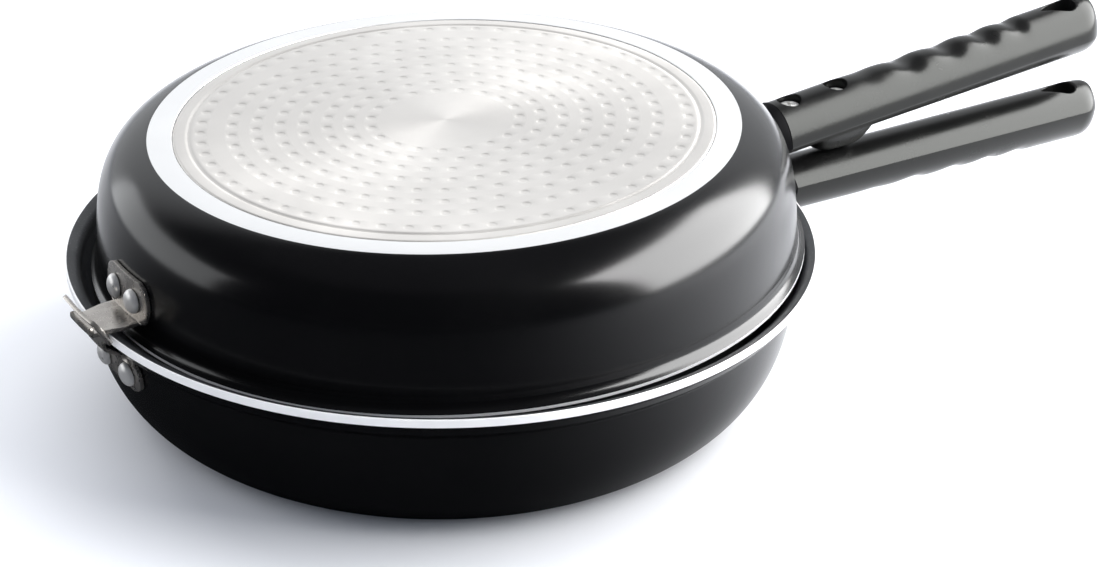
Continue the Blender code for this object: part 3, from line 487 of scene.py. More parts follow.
def offset_line(points, distance):
    """The open line moved square to itself, to its left."""
    moved = []
    for index, (x, y) in enumerate(points):
        before = points[max(index - 1, 0)]
        after = points[min(index + 1, len(points) - 1)]
        run = Vector((after[0] - before[0], after[1] - before[1])).normalized()
        moved.append((x - run.y * distance, y + run.x * distance))
    return moved


def softened(points, radius, count=5):
    """The open line with its inner corners rounded, no further than half a stretch."""
    line = [Vector(points[0])]
    for before, corner, after in zip(points, points[1:], points[2:]):
        into = Vector(before) - Vector(corner)
        away = Vector(after) - Vector(corner)
        bend = math.pi - into.angle(away)
        if bend < math.radians(1.5):
            line.append(Vector(corner))
            continue
        reach = min(radius * math.tan(bend / 2), into.length * 0.48, away.length * 0.48)
        start = Vector(corner) + into.normalized() * reach
        end = Vector(corner) + away.normalized() * reach
        for index in range(count + 1):
            t = index / count
            line.append(start * (1 - t) ** 2 + Vector(corner) * 2 * t * (1 - t) + end * t * t)
    line.append(Vector(points[-1]))
    return [tuple(point) for point in line]


def between(share, pair):
    """The value at a share of the way from the first of a pair to the second."""
    return pair[0] + (pair[1] - pair[0]) * share


def put(item, place, body, slot, *nodes):
    """Place a piece, let it ride on its body and stand for its nodes.

    A disc keeps its own axes, because its brushing runs about them. The other meshes are moved, so
    that their boxes lie along the frame's axes.
    """
    if slot == "disc_steel":
        item.matrix_world = place
    else:
        item.data.transform(place)
    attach(item, body)
    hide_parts(*nodes)
    return item


# ---- pans


def corner_of(pan):
    """The outside from the base's edge to the top of the wall."""
    angle, lean = math.radians(pan["angle"]), math.radians(pan["lean"])
    start = (pan["base"] + pan["start"] * math.cos(angle), pan["start"] * math.sin(angle))
    end = (pan["wall"] - pan["end"] * math.sin(lean), pan["top"] - pan["end"] * math.cos(lean))
    return bezier(((pan["base"], 0), start, end, (pan["wall"], pan["top"])), CORNER_STEPS)


def flare_of(pan):
    """The outside from the top of the wall to the lip's cut edge."""
    run = pan["lip"] - pan["wall"]
    rise = pan["height"] - pan["edge"] - pan["top"]
    line = [(pan["wall"] + run * out, pan["top"] + rise * up) for out, up in pan["flare"]]
    return softened([corner_of(pan)[-2], (pan["wall"], pan["top"])] + line, 0.006)[1:]


def outside_of(pan):
    """The whole outside, from the base's edge up to the lip."""
    return corner_of(pan)[:-2] + flare_of(pan) + [(pan["lip"], pan["height"])]


def inside_of(pan):
    """The whole inside, from the lip down to the floor's edge."""
    inner = offset_line(corner_of(pan), WALL_THICKNESS)
    run = pan["lip"] - inner[-1][0]
    rise = pan["height"] - inner[-1][1]
    face = [(inner[-1][0] + run * out, inner[-1][1] + rise * up) for out, up in pan["face"]]
    wall = [point for point in reversed(inner) if point[1] > FLOOR_THICKNESS + FOOT_RISE]
    foot = (wall[-1][0] - FOOT_RUN, FLOOR_THICKNESS)
    top = (pan["lip"] - LIP_INSET, pan["height"])
    return [top] + softened([top] + face + wall[:2], 0.004)[1:-1] + wall[1:] + [foot]


def wall_at(pan, height):
    """Radius of the outside at a height."""
    line = outside_of(pan)
    for (r0, z0), (r1, z1) in zip(line, line[1:]):
        if z0 <= height <= z1 and z1 > z0:
            return r0 + (r1 - r0) * (height - z0) / (z1 - z0)
    return line[-1][0]


def pan_body(name, pan):
    """The pressed pan: coated inside and out, bare on the base ring and the lip's cut edge."""
    coated, inside, lip, ring = range(4)
    recess = DISC_THICKNESS + SEAT_GAP
    mouth = DISC_RADIUS + SEAT_GAP
    profile = [(0, FLOOR_THICKNESS, inside)]
    profile += [(r, z, inside) for r, z in inside_of(pan)[:0:-1]]
    profile += [(pan["lip"] - PAN_BEVEL * 2, pan["height"], lip),
                (pan["lip"] - PAN_BEVEL, pan["height"], lip),
                (pan["lip"], pan["height"] - PAN_BEVEL, lip)]
    profile += [(r, z, coated) for r, z in outside_of(pan)[-2:0:-1]]
    profile += [(pan["base"] + PAN_BEVEL * 0.6, PAN_BEVEL * 0.25, ring),
                (pan["base"] - PAN_BEVEL, 0, ring), (mouth + PAN_BEVEL, 0, ring),
                (mouth, PAN_BEVEL, ring), (mouth, recess, ring), (0, recess, ring)]
    return finished(turned(name, profile, (COATING, INSIDE, LIP_METAL, RING_METAL)), 30)


def stitch(shape, inner, outer):
    """Triangles between two rings of (angle, vertex) pairs with different counts."""
    a, b = 0, 0
    while a < len(inner) or b < len(outer):
        next_a = inner[(a + 1) % len(inner)][0] + math.tau * ((a + 1) // len(inner))
        next_b = outer[(b + 1) % len(outer)][0] + math.tau * ((b + 1) // len(outer))
        one, two = inner[a % len(inner)][1], outer[b % len(outer)][1]
        if b >= len(outer) or (a < len(inner) and next_a <= next_b):
            shape.faces.new((one, two, inner[(a + 1) % len(inner)][1]))
            a += 1
        else:
            shape.faces.new((one, two, outer[(b + 1) % len(outer)][1]))
            b += 1


def dimple_band(shape, radius, count):
    """A band of cells with a pressed dimple in each; returns its inner and outer rings."""
    columns = count * CELL_STEPS
    inner, outer, grid = [], [], []
    for column in range(columns):
        angle = math.tau * column / columns
        spoke = []
        for step in range(CELL_STEPS + 1):
            reach = radius + CELL_HALF * (2 * step / CELL_STEPS - 1)
            spoke.append(shape.verts.new((reach * math.cos(angle), reach * math.sin(angle), 0)))
        grid.append(spoke)
        inner.append((angle, spoke[0]))
        outer.append((angle, spoke[-1]))
    for cell in range(count):
        left, near, far, right = (grid[(cell * CELL_STEPS + step) % columns]
                                  for step in range(CELL_STEPS + 1))
        before = [left[0], near[0], far[0], right[0], right[1], right[2],
                  right[3], far[3], near[3], left[3], left[2], left[1]]
        points = len(before)
        turn = math.tau * (cell + 0.5) / count
        middle = Vector((radius * math.cos(turn), radius * math.sin(turn), 0))
        along = Vector((-math.sin(turn), math.cos(turn), 0))
        out = Vector((math.cos(turn), math.sin(turn), 0))
        for share, depth in DIMPLE_SHAPE:
            ring = []
            for index in range(points):
                angle = math.radians(-135 + 30 * index)
                spot = middle + (along * math.cos(angle) + out * math.sin(angle)) * (
                    DIMPLE_RADIUS * share)
                spot.z = DIMPLE_DEPTH * depth
                ring.append(shape.verts.new(spot))
            for index in range(points):
                after = (index + 1) % points
                shape.faces.new((before[index], before[after], ring[after], ring[index]))
            before = ring
        middle.z = DIMPLE_DEPTH
        tip = shape.verts.new(middle)
        for index in range(points):
            shape.faces.new((before[index], before[(index + 1) % points], tip))
    return inner, outer


def plain_ring(shape, radius, height, count):
    """A ring of (angle, vertex) pairs."""
    return [(angle, shape.verts.new((radius * math.cos(angle), radius * math.sin(angle), height)))
            for angle in (math.tau * step / count for step in range(count))]


def dimpled_disc(name):
    """The steel plate: concentric rings of pressed dimples, a pressed groove, a plain middle."""
    mesh = bpy.data.meshes.new(name)
    shape = bmesh.new()
    centre = shape.verts.new((0, 0, 0))
    reached = plain_ring(shape, DISC_MIDDLE_RADIUS, 0, DIMPLE_RINGS[-1][1] * CELL_STEPS)
    for (_, one), (_, two) in zip(reached, reached[1:] + reached[:1]):
        shape.faces.new((centre, one, two))
    for share, count in reversed(DIMPLE_RINGS):
        inner, outer = dimple_band(shape, share * LOWER["base"], count)
        stitch(shape, reached, inner)
        reached = outer
    rims = ((GROOVE_RADIUS - 0.0013, 0), (GROOVE_RADIUS - 0.0006, 0.00015),
            (GROOVE_RADIUS, 0.0005), (GROOVE_RADIUS + 0.0005, 0.00042),
            (GROOVE_RADIUS + 0.0010, 0.0001), (GROOVE_RADIUS + 0.0016, 0.00004),
            (DISC_RADIUS - 0.0010, 0.00002), (DISC_RADIUS - 0.0003, 0.0001),
            (DISC_RADIUS, 0.0004), (DISC_RADIUS, DISC_THICKNESS))
    for radius, height in rims:
        ring = plain_ring(shape, radius, height, PAN_STEPS)
        stitch(shape, reached, ring)
        reached = ring
    shape.faces.new([vertex for _, vertex in reached])
    sealed(shape, mesh)
    return finished(add_object(name, mesh, (DISC_METAL,)), 40)


# ---- handles


def section(along, half_width, top, crease, bottom, boss=0.0, finger=0.0, count=SECTION_STEPS):
    """A ring: a dome, which may carry a boss, over a deeper underside, which may have a dent."""
    points = []
    for index in range(count):
        turn = math.tau * index / count
        side, level = math.cos(turn), math.sin(turn)
        if level >= 0:
            height = crease + (top - crease) * abs(level) ** (2 * DOME_POWER)
            height += boss * max(0.0, 1 - (side / BOSS_WIDTH_SHARE) ** 4)
        else:
            dip = finger * max(0.0, level ** 2 - FINGER_SIDE_SHARE)
            height = crease - (crease - bottom - dip) * abs(level)
        points.append((along, half_width * side, height))
    return points


def finger_dip(along):
    """Depth of the finger dents in the underside."""
    for start, end, depth in zip(FINGER_ENDS, FINGER_ENDS[1:], FINGER_DEPTHS):
        if start < along < end:
            return depth * math.sin(math.pi * ((along - start) / (end - start)) ** FINGER_SKEW) ** 2
    return 0.0


def handle_place(root, crease, fall):
    """Where a handle's root lies in its pan's frame, and how it falls towards the tip."""
    return Matrix.Translation((root, 0, crease)) @ Matrix.Rotation(fall, 4, "Y")


LOWER_HANDLE = handle_place(LOWER_ROOT, LOWER_CREASE, LOWER_FALL)
UPPER_HANDLE = handle_place(UPPER_ROOT, UPPER_CREASE, UPPER_FALL)


def boss_height(along):
    """The boss reaches to the dome of the other handle, less a seat."""
    place = abs(along - BOSS_CENTRE) / BOSS_HALF_LENGTH
    if place >= 1:
        return 0.0
    dome = between(along / HANDLE_LENGTH, DOMES)
    high = UPPER_PLACE @ UPPER_HANDLE @ Vector((along, 0, dome))
    below = (high.x - LOWER_ROOT) / math.cos(LOWER_FALL)
    gap = high.z - (LOWER_HANDLE @ Vector((below, 0, between(below / HANDLE_LENGTH, DOMES)))).z
    fade = max(0.0, place - BOSS_FLAT_SHARE) / (1 - BOSS_FLAT_SHARE)
    return (gap - SEAT_GAP) * math.sqrt(1 - fade ** 2)


def rim_height(along, side, underside):
    """Height of the handle's underside or its dome over a place, away from the tip."""
    level = math.sqrt(max(0.0, 1 - (side / between(along / HANDLE_LENGTH, HALF_WIDTHS)) ** 2))
    if underside:
        return -between(along / HANDLE_LENGTH, DEPTHS) * level
    return between(along / HANDLE_LENGTH, DOMES) * level ** (2 * DOME_POWER)


def flared_cutter(name, outline, fillet, seat=None):
    """A cutter from below the handle to a seat, or through it, with mouths that round over."""
    centre = sum((Vector((*point, 0)) for point in outline), Vector()) / len(outline)

    def ring(grow, level, underside=None):
        made = []
        for index, (x, y) in enumerate(outline):
            before = Vector((*outline[index - 1], 0))
            after = Vector((*outline[(index + 1) % len(outline)], 0))
            run = (after - before).normalized()
            out = Vector((run.y, -run.x, 0))
            if out.dot(Vector((x, y, 0)) - centre) < 0:
                out = -out
            spot = Vector((x, y, 0)) + out * grow
            height = level if underside is None else rim_height(spot.x, spot.y, underside) + level
            made.append((spot.x, spot.y, height))
        return made

    turns = [math.radians(degrees) for degrees in (0, 22, 45, 68, 90)]
    mouth = [(fillet * (1 - math.cos(turn)), fillet * (1 - math.sin(turn))) for turn in turns]
    rings = [ring(fillet * 1.2, -CUT_CLEAR, True)]
    rings += [ring(grow, level, True) for grow, level in reversed(mouth)]
    if seat is None:
        rings += [ring(grow, -level, False) for grow, level in mouth]
        rings.append(ring(fillet * 1.2, CUT_CLEAR, False))
    else:
        rings.append(ring(0, seat))
    return skin(name, rings)


def circle(centre, radius, count=40):
    """An outline about a place on the handle's middle line."""
    return [(centre + radius * math.cos(math.tau * index / count),
             radius * math.sin(math.tau * index / count)) for index in range(count)]


def teardrop():
    """The hanging hole's outline: round towards the tip, with a blunt point towards the pan."""
    centre = HANDLE_LENGTH - HOLE_FROM_TIP
    turn_off = math.acos(HOLE_RADIUS / HOLE_POINT)
    steps = 28
    outline = []
    for index in range(steps + 1):
        turn = -(math.pi - turn_off) + 2 * (math.pi - turn_off) * index / steps
        outline.append((centre + HOLE_RADIUS * math.cos(turn), HOLE_RADIUS * math.sin(turn)))
    tip = Vector((centre - HOLE_POINT, 0))
    last, first = Vector(outline[-1]), Vector(outline[0])
    outline += [tuple(last.lerp(tip, share)) for share in (0.3, 0.6, 0.85)]
    outline += [(tip.x + 0.0008, 0)]
    outline += [tuple(first.lerp(tip, share)) for share in (0.85, 0.6, 0.3)]
    return outline


def handle(name, with_boss):
    """The moulded handle, with its hanging hole, screw recesses and the slot for the tang."""
    straight = int(HANDLE_LENGTH * STRAIGHT_SHARE / STATION_STEP)
    stations = [index * STATION_STEP for index in range(straight)]
    start = stations[-1]
    stations += [start + (HANDLE_LENGTH - start) * (1 - (1 - index / TIP_STATIONS) ** TIP_CROWDING)
                 for index in range(1, TIP_STATIONS)]
    stations.append(HANDLE_LENGTH - TIP_FLAT)
    rings = []
    for along in stations:
        share = along / HANDLE_LENGTH
        near = min(1.0, (HANDLE_LENGTH - along) / TIP_ROUND)
        plan = math.sqrt(1 - (1 - near) ** TIP_PLAN_POWER)
        drop = math.sqrt(1 - (1 - near) ** TIP_SIDE_POWER)
        rings.append(section(along, between(share, HALF_WIDTHS) * plan,
                             between(share, DOMES) * drop, 0, -between(share, DEPTHS) * drop,
                             boss_height(along) if with_boss else 0.0, finger_dip(along)))
    item = skin(name, rings, (HANDLE_PLASTIC,))
    cutters = [flared_cutter(name + "_hole", teardrop(), HOLE_FILLET)]
    for along, sunk, _ in SCREW_SEATS:
        seat = -(between(along / HANDLE_LENGTH, DEPTHS) - sunk - SCREW_HEAD_HEIGHT)
        cutters.append(flared_cutter(name + "_recess", circle(along, RECESS_RADIUS),
                                     RECESS_FILLET, seat))
    cutters.append(block(
        name + "_slot",
        (-CUT_CLEAR, -TANG_SLOT_HALF_WIDTH, -TANG_CENTRE - TANG_SLOT_HALF_HEIGHT),
        (TANG_SLOT_LENGTH, TANG_SLOT_HALF_WIDTH, -TANG_CENTRE + TANG_SLOT_HALF_HEIGHT)))
    return cut(item, cutters)


def screw(name, along, sunk):
    """A cross-recess screw in its recess."""
    depth = between(along / HANDLE_LENGTH, DEPTHS)
    seat = -(depth - sunk - SCREW_HEAD_HEIGHT) - SEAT_GAP
    face = -(depth - sunk)
    end = -TANG_CENTRE + TANG_HALF_HEIGHT
    crown = SCREW_HEAD_HEIGHT * 0.4
    profile = [(0, end, 0), (SCREW_SHANK_RADIUS, end, 0), (SCREW_SHANK_RADIUS, seat, 0),
               (SCREW_HEAD_RADIUS, seat, 0)]
    profile += [(SCREW_HEAD_RADIUS * math.cos(turn), face + crown * (1 - math.sin(turn)), 0)
                for turn in (math.radians(18 * step) for step in range(5))]
    profile.append((0, face, 0))
    item = turned(name, profile, (SCREW_METAL,), SCREW_STEPS)
    cut(item, [block(name + "_cross", (-long, -wide, face - CUT_CLEAR / 2),
                     (long, wide, face + CROSS_DEPTH), Matrix.Rotation(CROSS_TURN, 4, "Z"))
               for long, wide in ((CROSS_HALF_LENGTH, CROSS_HALF_WIDTH),
                                  (CROSS_HALF_WIDTH, CROSS_HALF_LENGTH))])
    item.data.transform(Matrix.Translation((along, 0, 0)))
    return item


def collar(name, pan, root, top, place):
    """The flame guard: a band at the handle, tapered to the wall and cut to the wall's curve."""
    reach = root - pan["wall"] + COLLAR_OVERLAP
    slim = (COLLAR_SLIM_HALF_WIDTH, top, (top - COLLAR_SLIM_BOTTOM) / 2, -COLLAR_SLIM_BOTTOM)
    rings = []
    for along, share, grow in COLLAR_STATIONS + ((-reach, 1, 0),):
        band = (HALF_WIDTHS[0] + grow, DOMES[0] + grow, 0, -DEPTHS[0] - grow)
        rings.append(section(along, *(between(share, pair) for pair in zip(band, slim)), count=64))
    item = skin(name, rings, (GUARD,))
    item.data.transform(place)
    line = offset_line(outside_of(pan), -SEAT_GAP)
    solid = [(0, line[-1][1], 0)] + [(r, z, 0) for r, z in reversed(line)]
    solid += [(line[0][0], -SEAT_GAP, 0), (0, -SEAT_GAP, 0)]
    return cut(item, [turned(name + "_wall", solid)])


# ---- hinge


def lengths_of(line):
    """The length reached at each point of a line."""
    marks = [0]
    for first, second in zip(line, line[1:]):
        marks.append(marks[-1] + (Vector(second) - Vector(first)).length)
    return marks


def point_at(line, marks, length):
    """The point of a line at a length."""
    for index in range(len(line) - 1):
        if length <= marks[index + 1] or index == len(line) - 2:
            run = max(marks[index + 1] - marks[index], SHORTEST_RUN)
            return Vector(line[index]).lerp(Vector(line[index + 1]), (length - marks[index]) / run)


def smooth_width(outline, length):
    """Half width at a length, with the outline's corners eased."""
    total = 0
    for shift in (-0.0005, 0, 0.0005):
        spot = min(max(length + shift, outline[0][0]), outline[-1][0])
        for (s0, w0), (s1, w1) in zip(outline, outline[1:]):
            if s0 <= spot <= s1:
                total += w0 + (w1 - w0) * (spot - s0) / max(s1 - s0, SHORTEST_RUN)
                break
    return total / 3


def bent_plate(name, line, outline, cutters=()):
    """Sheet along a line of (radius, height), curved about the pan's axis, with rounded edges."""
    marks = lengths_of(line)
    count = int(marks[-1] / PLATE_STATION)
    mesh = bpy.data.meshes.new(name)
    shape = bmesh.new()
    rows = []
    for station in range(count + 1):
        length = marks[-1] * station / count
        radius, height = point_at(line, marks, length)
        half = smooth_width(outline, length)
        row = []
        for index in range(PLATE_STEPS + 1):
            turn = half * (2 * index / PLATE_STEPS - 1) / radius
            row.append(shape.verts.new((-radius * math.cos(turn), radius * math.sin(turn), height)))
        rows.append(row)
    for low, high in zip(rows, rows[1:]):
        for index in range(PLATE_STEPS):
            shape.faces.new((low[index + 1], low[index], high[index], high[index + 1]))
    shape.to_mesh(mesh)
    shape.free()
    item = add_object(name, mesh, (HINGE_METAL,))
    sheet = item.modifiers.new("sheet", "SOLIDIFY")
    sheet.thickness = PLATE_THICKNESS
    sheet.offset = 1
    sheet.use_even_offset = True
    finished(item)
    if cutters:
        cut(item, cutters)
    edges = item.modifiers.new("edges", "BEVEL")
    edges.width = PLATE_ROUNDING
    edges.segments = 2
    edges.limit_method = "ANGLE"
    edges.angle_limit = math.radians(50)
    return finished(item, 40)


def ear_point(along):
    """Radius and height of the middle of the ear's sheet, at a distance from its root."""
    half = PLATE_THICKNESS / 2
    radius = LOWER["lip"] + SEAT_GAP + along * math.sin(EAR_LEAN) + half * math.cos(EAR_LEAN)
    height = LOWER["height"] - NECK_SINK + along * math.cos(EAR_LEAN) - half * math.sin(EAR_LEAN)
    return radius, height


def slot_cutter():
    """A rounded slot through the leaning ear."""
    up = Vector((-math.sin(EAR_LEAN), 0, math.cos(EAR_LEAN)))
    across = Vector((0, 1, 0))
    radius, height = ear_point(EAR_HEIGHT / 2)
    place = Matrix.Translation((-radius, 0, height))
    place = place @ Matrix((across, up, across.cross(up))).transposed().to_4x4()
    reach = SLOT_HALF_LENGTH - SLOT_CORNER
    rise = EAR_HEIGHT / 2 - EAR_BAR - SLOT_CORNER
    outline = []
    for quarter, (side, level) in enumerate(((1, 1), (-1, 1), (-1, -1), (1, -1))):
        for index in range(7):
            turn = math.radians(90 * quarter + 15 * index)
            outline.append((side * reach + SLOT_CORNER * math.cos(turn),
                            level * rise + SLOT_CORNER * math.sin(turn)))
    rings = [[place @ Vector((x, y, depth)) for x, y in outline] for depth in (-0.003, 0.003)]
    return skin("ear_slot", rings)


def lower_hinge():
    """The plate on the lower wall, with a neck under the lip and the slotted ear beyond it."""
    bottom, top = (LOWER["height"] - down for down in LOWER_PLATE_SPAN)
    neck = LOWER["lip"] + SEAT_GAP
    foot = LOWER["height"] - LOWER["edge"]
    wall = [(wall_at(LOWER, z) + SEAT_GAP, z) for z in (bottom, (bottom + top) / 2, top)]
    rise = LOWER["height"] - NECK_SINK
    ends = [(neck, foot - PLATE_THICKNESS * 2), (neck, rise),
            (neck + EAR_HEIGHT * math.sin(EAR_LEAN), rise + EAR_HEIGHT * math.cos(EAR_LEAN))]
    line = softened(wall + ends, BEND_RADIUS, 8)
    plate = top - bottom
    ear = lengths_of(line)[-1] - EAR_HEIGHT
    outline = [(plate * along, LOWER_PLATE_HALF_WIDTH * share)
               for along, share in LOWER_PLATE_OUTLINE]
    outline += [(plate * 1.07, LOWER_PLATE_HALF_WIDTH * 0.62),
                (plate * 1.12, NECK_HALF_WIDTH * 1.35), (plate * 1.25, NECK_HALF_WIDTH),
                (ear - PLATE_THICKNESS, NECK_HALF_WIDTH),
                (ear, (NECK_HALF_WIDTH + SLOT_HALF_LENGTH) / 2)]
    outline += [(ear + EAR_HEIGHT * along, EAR_HALF_LENGTH * share)
                for along, share in EAR_OUTLINE]
    return bent_plate("lower_hinge_plate", line, outline, [slot_cutter()])


def upper_hinge():
    """The plate on the upper wall, with the tongue through the ear and the hook at its end."""
    axis = UPPER_PLACE.inverted() @ HINGE_POINT
    top, fold = (LIP_PLANE - down for down in UPPER_PLATE_SPAN)
    wall = [(wall_at(UPPER, top + (fold - top) * share) + SEAT_GAP, top + (fold - top) * share)
            for share in (0, 0.25, 0.5, 0.75, 1)]
    level = axis.z + PLATE_THICKNESS / 2
    hook = -axis.x + HOOK_BEYOND
    tongue = [(-axis.x, level), (hook, level), (hook, level - PLATE_THICKNESS - HOOK_HEIGHT)]
    line = softened(wall + tongue, BEND_RADIUS, 8)
    plate = fold - top
    total = lengths_of(line)[-1]
    slot = total - HOOK_HEIGHT - HOOK_BEYOND - PLATE_THICKNESS * 2
    outline = [(plate * along, UPPER_PLATE_HALF_WIDTH * share)
               for along, share in UPPER_PLATE_OUTLINE]
    outline += [(plate, TONGUE_HALF_WIDTH), ((plate + slot) / 2, TONGUE_HALF_WIDTH),
                (slot, HOOK_HALF_WIDTH), (total - HOOK_HEIGHT / 2, HOOK_HALF_WIDTH),
                (total, HOOK_END_HALF_WIDTH)]
    return bent_plate("upper_hinge_plate", line, outline)


def rivet(name, pan, height, aside):
    """A domed rivet through plate and wall, square to the wall."""
    radius = wall_at(pan, height)
    rise = RIVET_HEAD_RADIUS
    lean = math.atan2(wall_at(pan, height + rise) - wall_at(pan, height - rise), 2 * rise)
    turn = aside / radius
    out = Vector((-math.cos(turn) * math.cos(lean), math.sin(turn) * math.cos(lean),
                  -math.sin(lean)))
    place = Matrix.Translation((-radius * math.cos(turn), radius * math.sin(turn), height))
    place = place @ out.to_track_quat("Z", "Y").to_matrix().to_4x4()
    under = PLATE_THICKNESS + SEAT_GAP * 2
    tail = -WALL_THICKNESS - SEAT_GAP * 2
    turns = [math.radians(90 * step / RIVET_DOME_STEPS) for step in range(RIVET_DOME_STEPS + 1)]
    profile = [(RIVET_HEAD_RADIUS * math.sin(turn),
                under + RIVET_BAND + (RIVET_HEAD_HEIGHT - RIVET_BAND) * math.cos(turn), 0)
               for turn in turns]
    profile += [(RIVET_HEAD_RADIUS, under, 0), (RIVET_SHANK_RADIUS, under, 0),
                (RIVET_SHANK_RADIUS, tail, 0), (RIVET_TAIL_RADIUS, tail, 0),
                (RIVET_TAIL_RADIUS, tail - 0.0008, 0),
                (RIVET_TAIL_RADIUS - 0.0008, tail - 0.0014, 0), (0, tail - 0.0014, 0)]
    item = turned(name, profile, (RIVET_METAL,), RIVET_STEPS)
    item.data.transform(place)
    return finished(item)


# ---- assembly


# Side, pan, its place, the handle's place and root, top of the collar's slim end, height of the
# rivets and half their distance, hinge plate, and whether the handle has the boss
SIDES = (
    ("lower", LOWER, LOWER_PLACE, LOWER_HANDLE, LOWER_ROOT, 0.0040, LOWER["height"] - 0.0164,
     0.0092, lower_hinge, False),
    ("upper", UPPER, UPPER_PLACE, UPPER_HANDLE, UPPER_ROOT, -0.0008, LIP_PLANE - 0.0137,
     0.0070, upper_hinge, True),
)
for side, pan, place, at, root, collar_top, rivet_height, rivet_aside, hinge, boss in SIDES:
    body = side + "_pan"
    put(pan_body(side + "_pan_shell", pan), place, body, "pan_coating", side + "_pan_body")
    put(dimpled_disc(side + "_dimpled_disc"), place, body, "disc_steel", side + "_induction_disc")
    put(hinge(), place, body, "hinge_steel", side + "_hinge_bracket")
    for label, aside in (("left", -rivet_aside), ("right", rivet_aside)):
        put(rivet(f"{side}_rivet_{label}", pan, rivet_height, aside), place, body,
            "hinge_steel", f"{side}_hinge_rivet_{label}")
    put(handle(side + "_grip", boss), place @ at, body, "handle_bakelite", side + "_handle")
    put(collar(side + "_collar", pan, root, collar_top, at), place, body, "guard_lacquer",
        side + "_flame_guard")
    for along, sunk, label in SCREW_SEATS:
        put(screw(f"{side}_screw_{label}", along, sunk), place @ at, body, "screw_steel",
            f"{side}_handle_screw_{label}")
    bracket = frame["nodes"][side + "_handle_bracket"]
    bracket.data.materials.clear()
    bracket.data.materials.append(ALLOY)


# ---- studio


PAN_MIDDLE = Vector((0, 0, 0.06))
WHITE = (1, 1, 1)

# The floor lies a hair under the pan's base
FLOOR_SIZE = 8
FLOOR_DROP = 0.00005
FLOOR_COLOUR = (0.90, 0.90, 0.91)

# A painted reflection: what glossy pieces see of the floor, bright towards an azimuth and painted
# dark away from it, with the cosines between which it changes
FLOOR_BRIGHT_AZIMUTH = 25
FLOOR_FADE = (-0.8, 0.9)
FLOOR_PAINTED_DARK_REFLECTION = (0.03, 0.031, 0.033)
FLOOR_BRIGHT = (0.95, 0.95, 0.96)

# What they see of the world: a pale screen at an azimuth and an elevation, over a dim sky
SCREEN_AT = (62, 2)
SCREEN_FADE = (0.50, 0.80)
SCREEN_COLOUR = (0.88, 0.90, 0.93)
SKY_FADE = (0.75, 0.95)
SKY_SIDE = (0.02, 0.021, 0.024)
SKY_TOP = (0.08, 0.08, 0.088)
FILL = (0.38, 0.42, 0.50)

# The camera that was fitted to the photograph
CAMERA_LENS = 78.617
CAMERA_AT = (-0.41872466, -0.70005378, 0.44928)
CAMERA_RIGHT = Vector((0.83530171, -0.54964372, 0.01276063))
CAMERA_UP = Vector((0.23857156, 0.38327632, 0.8922908))


def heading(azimuth, elevation):
    """Unit vector towards an azimuth from +X and an elevation, in degrees."""
    turn, rise = math.radians(azimuth), math.radians(elevation)
    flat = math.cos(rise)
    return Vector((flat * math.cos(turn), flat * math.sin(turn), math.sin(rise)))


def towards(tree, spot, direction, start, end):
    """1 where a place or a direction points within an angle of a direction, fading to 0."""
    unit = node(tree, "ShaderNodeVectorMath", {0: spot}, operation="NORMALIZE").outputs[0]
    share = node(tree, "ShaderNodeVectorMath", {0: unit, 1: direction},
                 operation="DOT_PRODUCT").outputs["Value"]
    return node(tree, "ShaderNodeMapRange", {"Value": share, "From Min": start, "From Max": end},
                interpolation_type="SMOOTHSTEP").outputs[0]


def floor():
    """A white floor with a painted reflection: glossy pieces see it brightest towards the right and
    back, and painted dark away from there.
    """
    bpy.ops.mesh.primitive_plane_add(size=FLOOR_SIZE, location=(0, 0, -FLOOR_DROP))
    item = bpy.context.object
    item.name = "studio_floor"
    made, tree, shader = shader_of("studio_floor", FLOOR_COLOUR, 0.9, Specular_IOR_Level=0.0)
    flat = flattened(tree, node(tree, "ShaderNodeNewGeometry").outputs["Position"])
    bright = towards(tree, flat, heading(FLOOR_BRIGHT_AZIMUTH, 0), *FLOOR_FADE)
    glossy = node(tree, "ShaderNodeLightPath").outputs["Is Glossy Ray"]
    # The colour that glossy rays see is a painted reflection, dark away from the bright azimuth
    seen = mixed(tree, bright, FLOOR_PAINTED_DARK_REFLECTION, FLOOR_BRIGHT)
    tree.links.new(mixed(tree, glossy, FLOOR_COLOUR, seen), shader.inputs["Base Color"])
    item.data.materials.append(made)


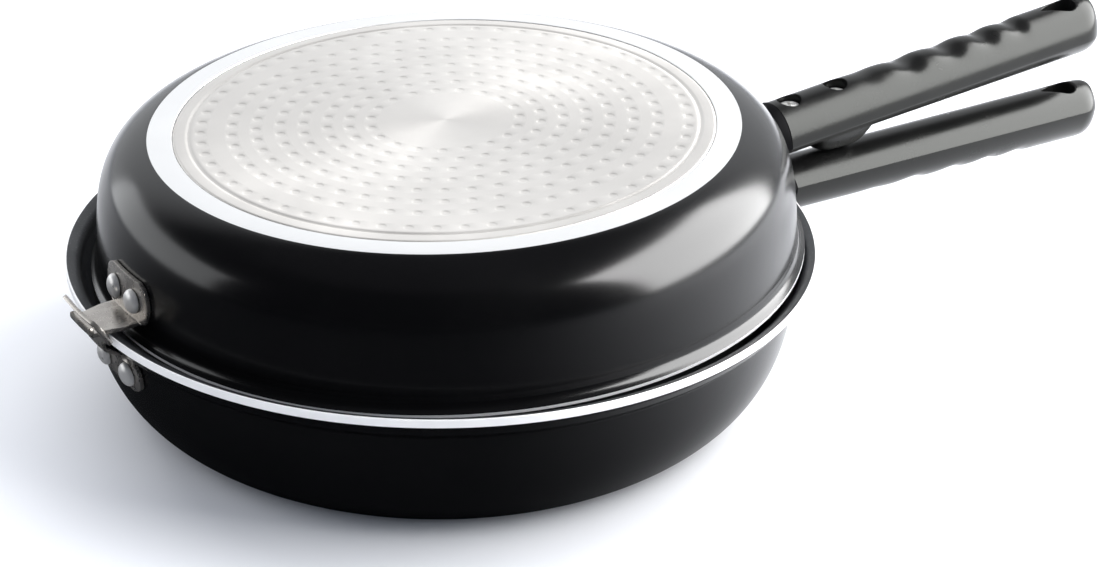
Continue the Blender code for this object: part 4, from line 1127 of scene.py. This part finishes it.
def softbox(name, azimuth, elevation, distance, width, height, radiance, glossy, colour=WHITE):
    """A lamp with an even face that faces the pan, for reflections or for matt surfaces."""
    light = bpy.data.lights.new(name, "AREA")
    light.shape = "RECTANGLE"
    light.size = width
    light.size_y = height
    light.energy = radiance * width * height * 4
    light.color = colour
    item = bpy.data.objects.new(name, light)
    bpy.context.scene.collection.objects.link(item)
    item.location = PAN_MIDDLE + heading(azimuth, elevation) * distance
    item.rotation_euler = (PAN_MIDDLE - item.location).to_track_quat("-Z", "Y").to_euler()
    item.visible_glossy = glossy
    item.visible_diffuse = not glossy
    item.visible_camera = False


def world():
    """White for the camera, an even fill for matt surfaces, and a pale screen for reflections."""
    made = bpy.data.worlds.new("studio")
    bpy.context.scene.world = made
    made.use_nodes = True
    made.cycles.sampling_method = "NONE"
    tree = made.node_tree
    way = node(tree, "ShaderNodeTexCoord").outputs["Generated"]
    screen = towards(tree, way, heading(*SCREEN_AT), *SCREEN_FADE)
    sky = mixed(tree, towards(tree, way, Vector((0, 0, 1)), *SKY_FADE), SKY_SIDE, SKY_TOP)
    path = node(tree, "ShaderNodeLightPath").outputs
    seen = mixed(tree, path["Is Glossy Ray"], FILL, mixed(tree, screen, sky, SCREEN_COLOUR))
    shown = mixed(tree, path["Is Camera Ray"], seen, WHITE)
    tree.links.new(shown, tree.nodes["Background"].inputs["Color"])
    tree.nodes["Background"].inputs["Strength"].default_value = 1.0


def camera():
    """The fitted camera, made the scene's own."""
    made = bpy.data.cameras.new("photo_camera")
    made.sensor_width = 36
    made.sensor_fit = "HORIZONTAL"
    made.lens = CAMERA_LENS
    item = bpy.data.objects.new("photo_camera", made)
    bpy.context.scene.collection.objects.link(item)
    axes = Matrix((CAMERA_RIGHT, CAMERA_UP, CAMERA_RIGHT.cross(CAMERA_UP)))
    item.matrix_world = Matrix.Translation(CAMERA_AT) @ axes.transposed().to_4x4()
    bpy.context.scene.camera = item


floor()
softbox("right_shine", -28, 28, 2.4, 3.08, 2.40, 9.0, glossy=True)
softbox("right_light", -26, 34, 1.3, 1.74, 1.30, 4.6, glossy=False)
softbox("left_shine", 134, 14, 1.2, 1.40, 0.58, 1.5, glossy=True, colour=(0.96, 0.98, 1))
softbox("back_light", 75, 50, 1.4, 1.60, 1.20, 2.0, glossy=False)
softbox("left_light", 150, 40, 1.3, 1.44, 0.90, 1.0, glossy=False)
world()
camera()
bpy.context.scene.view_settings.view_transform = "Standard"
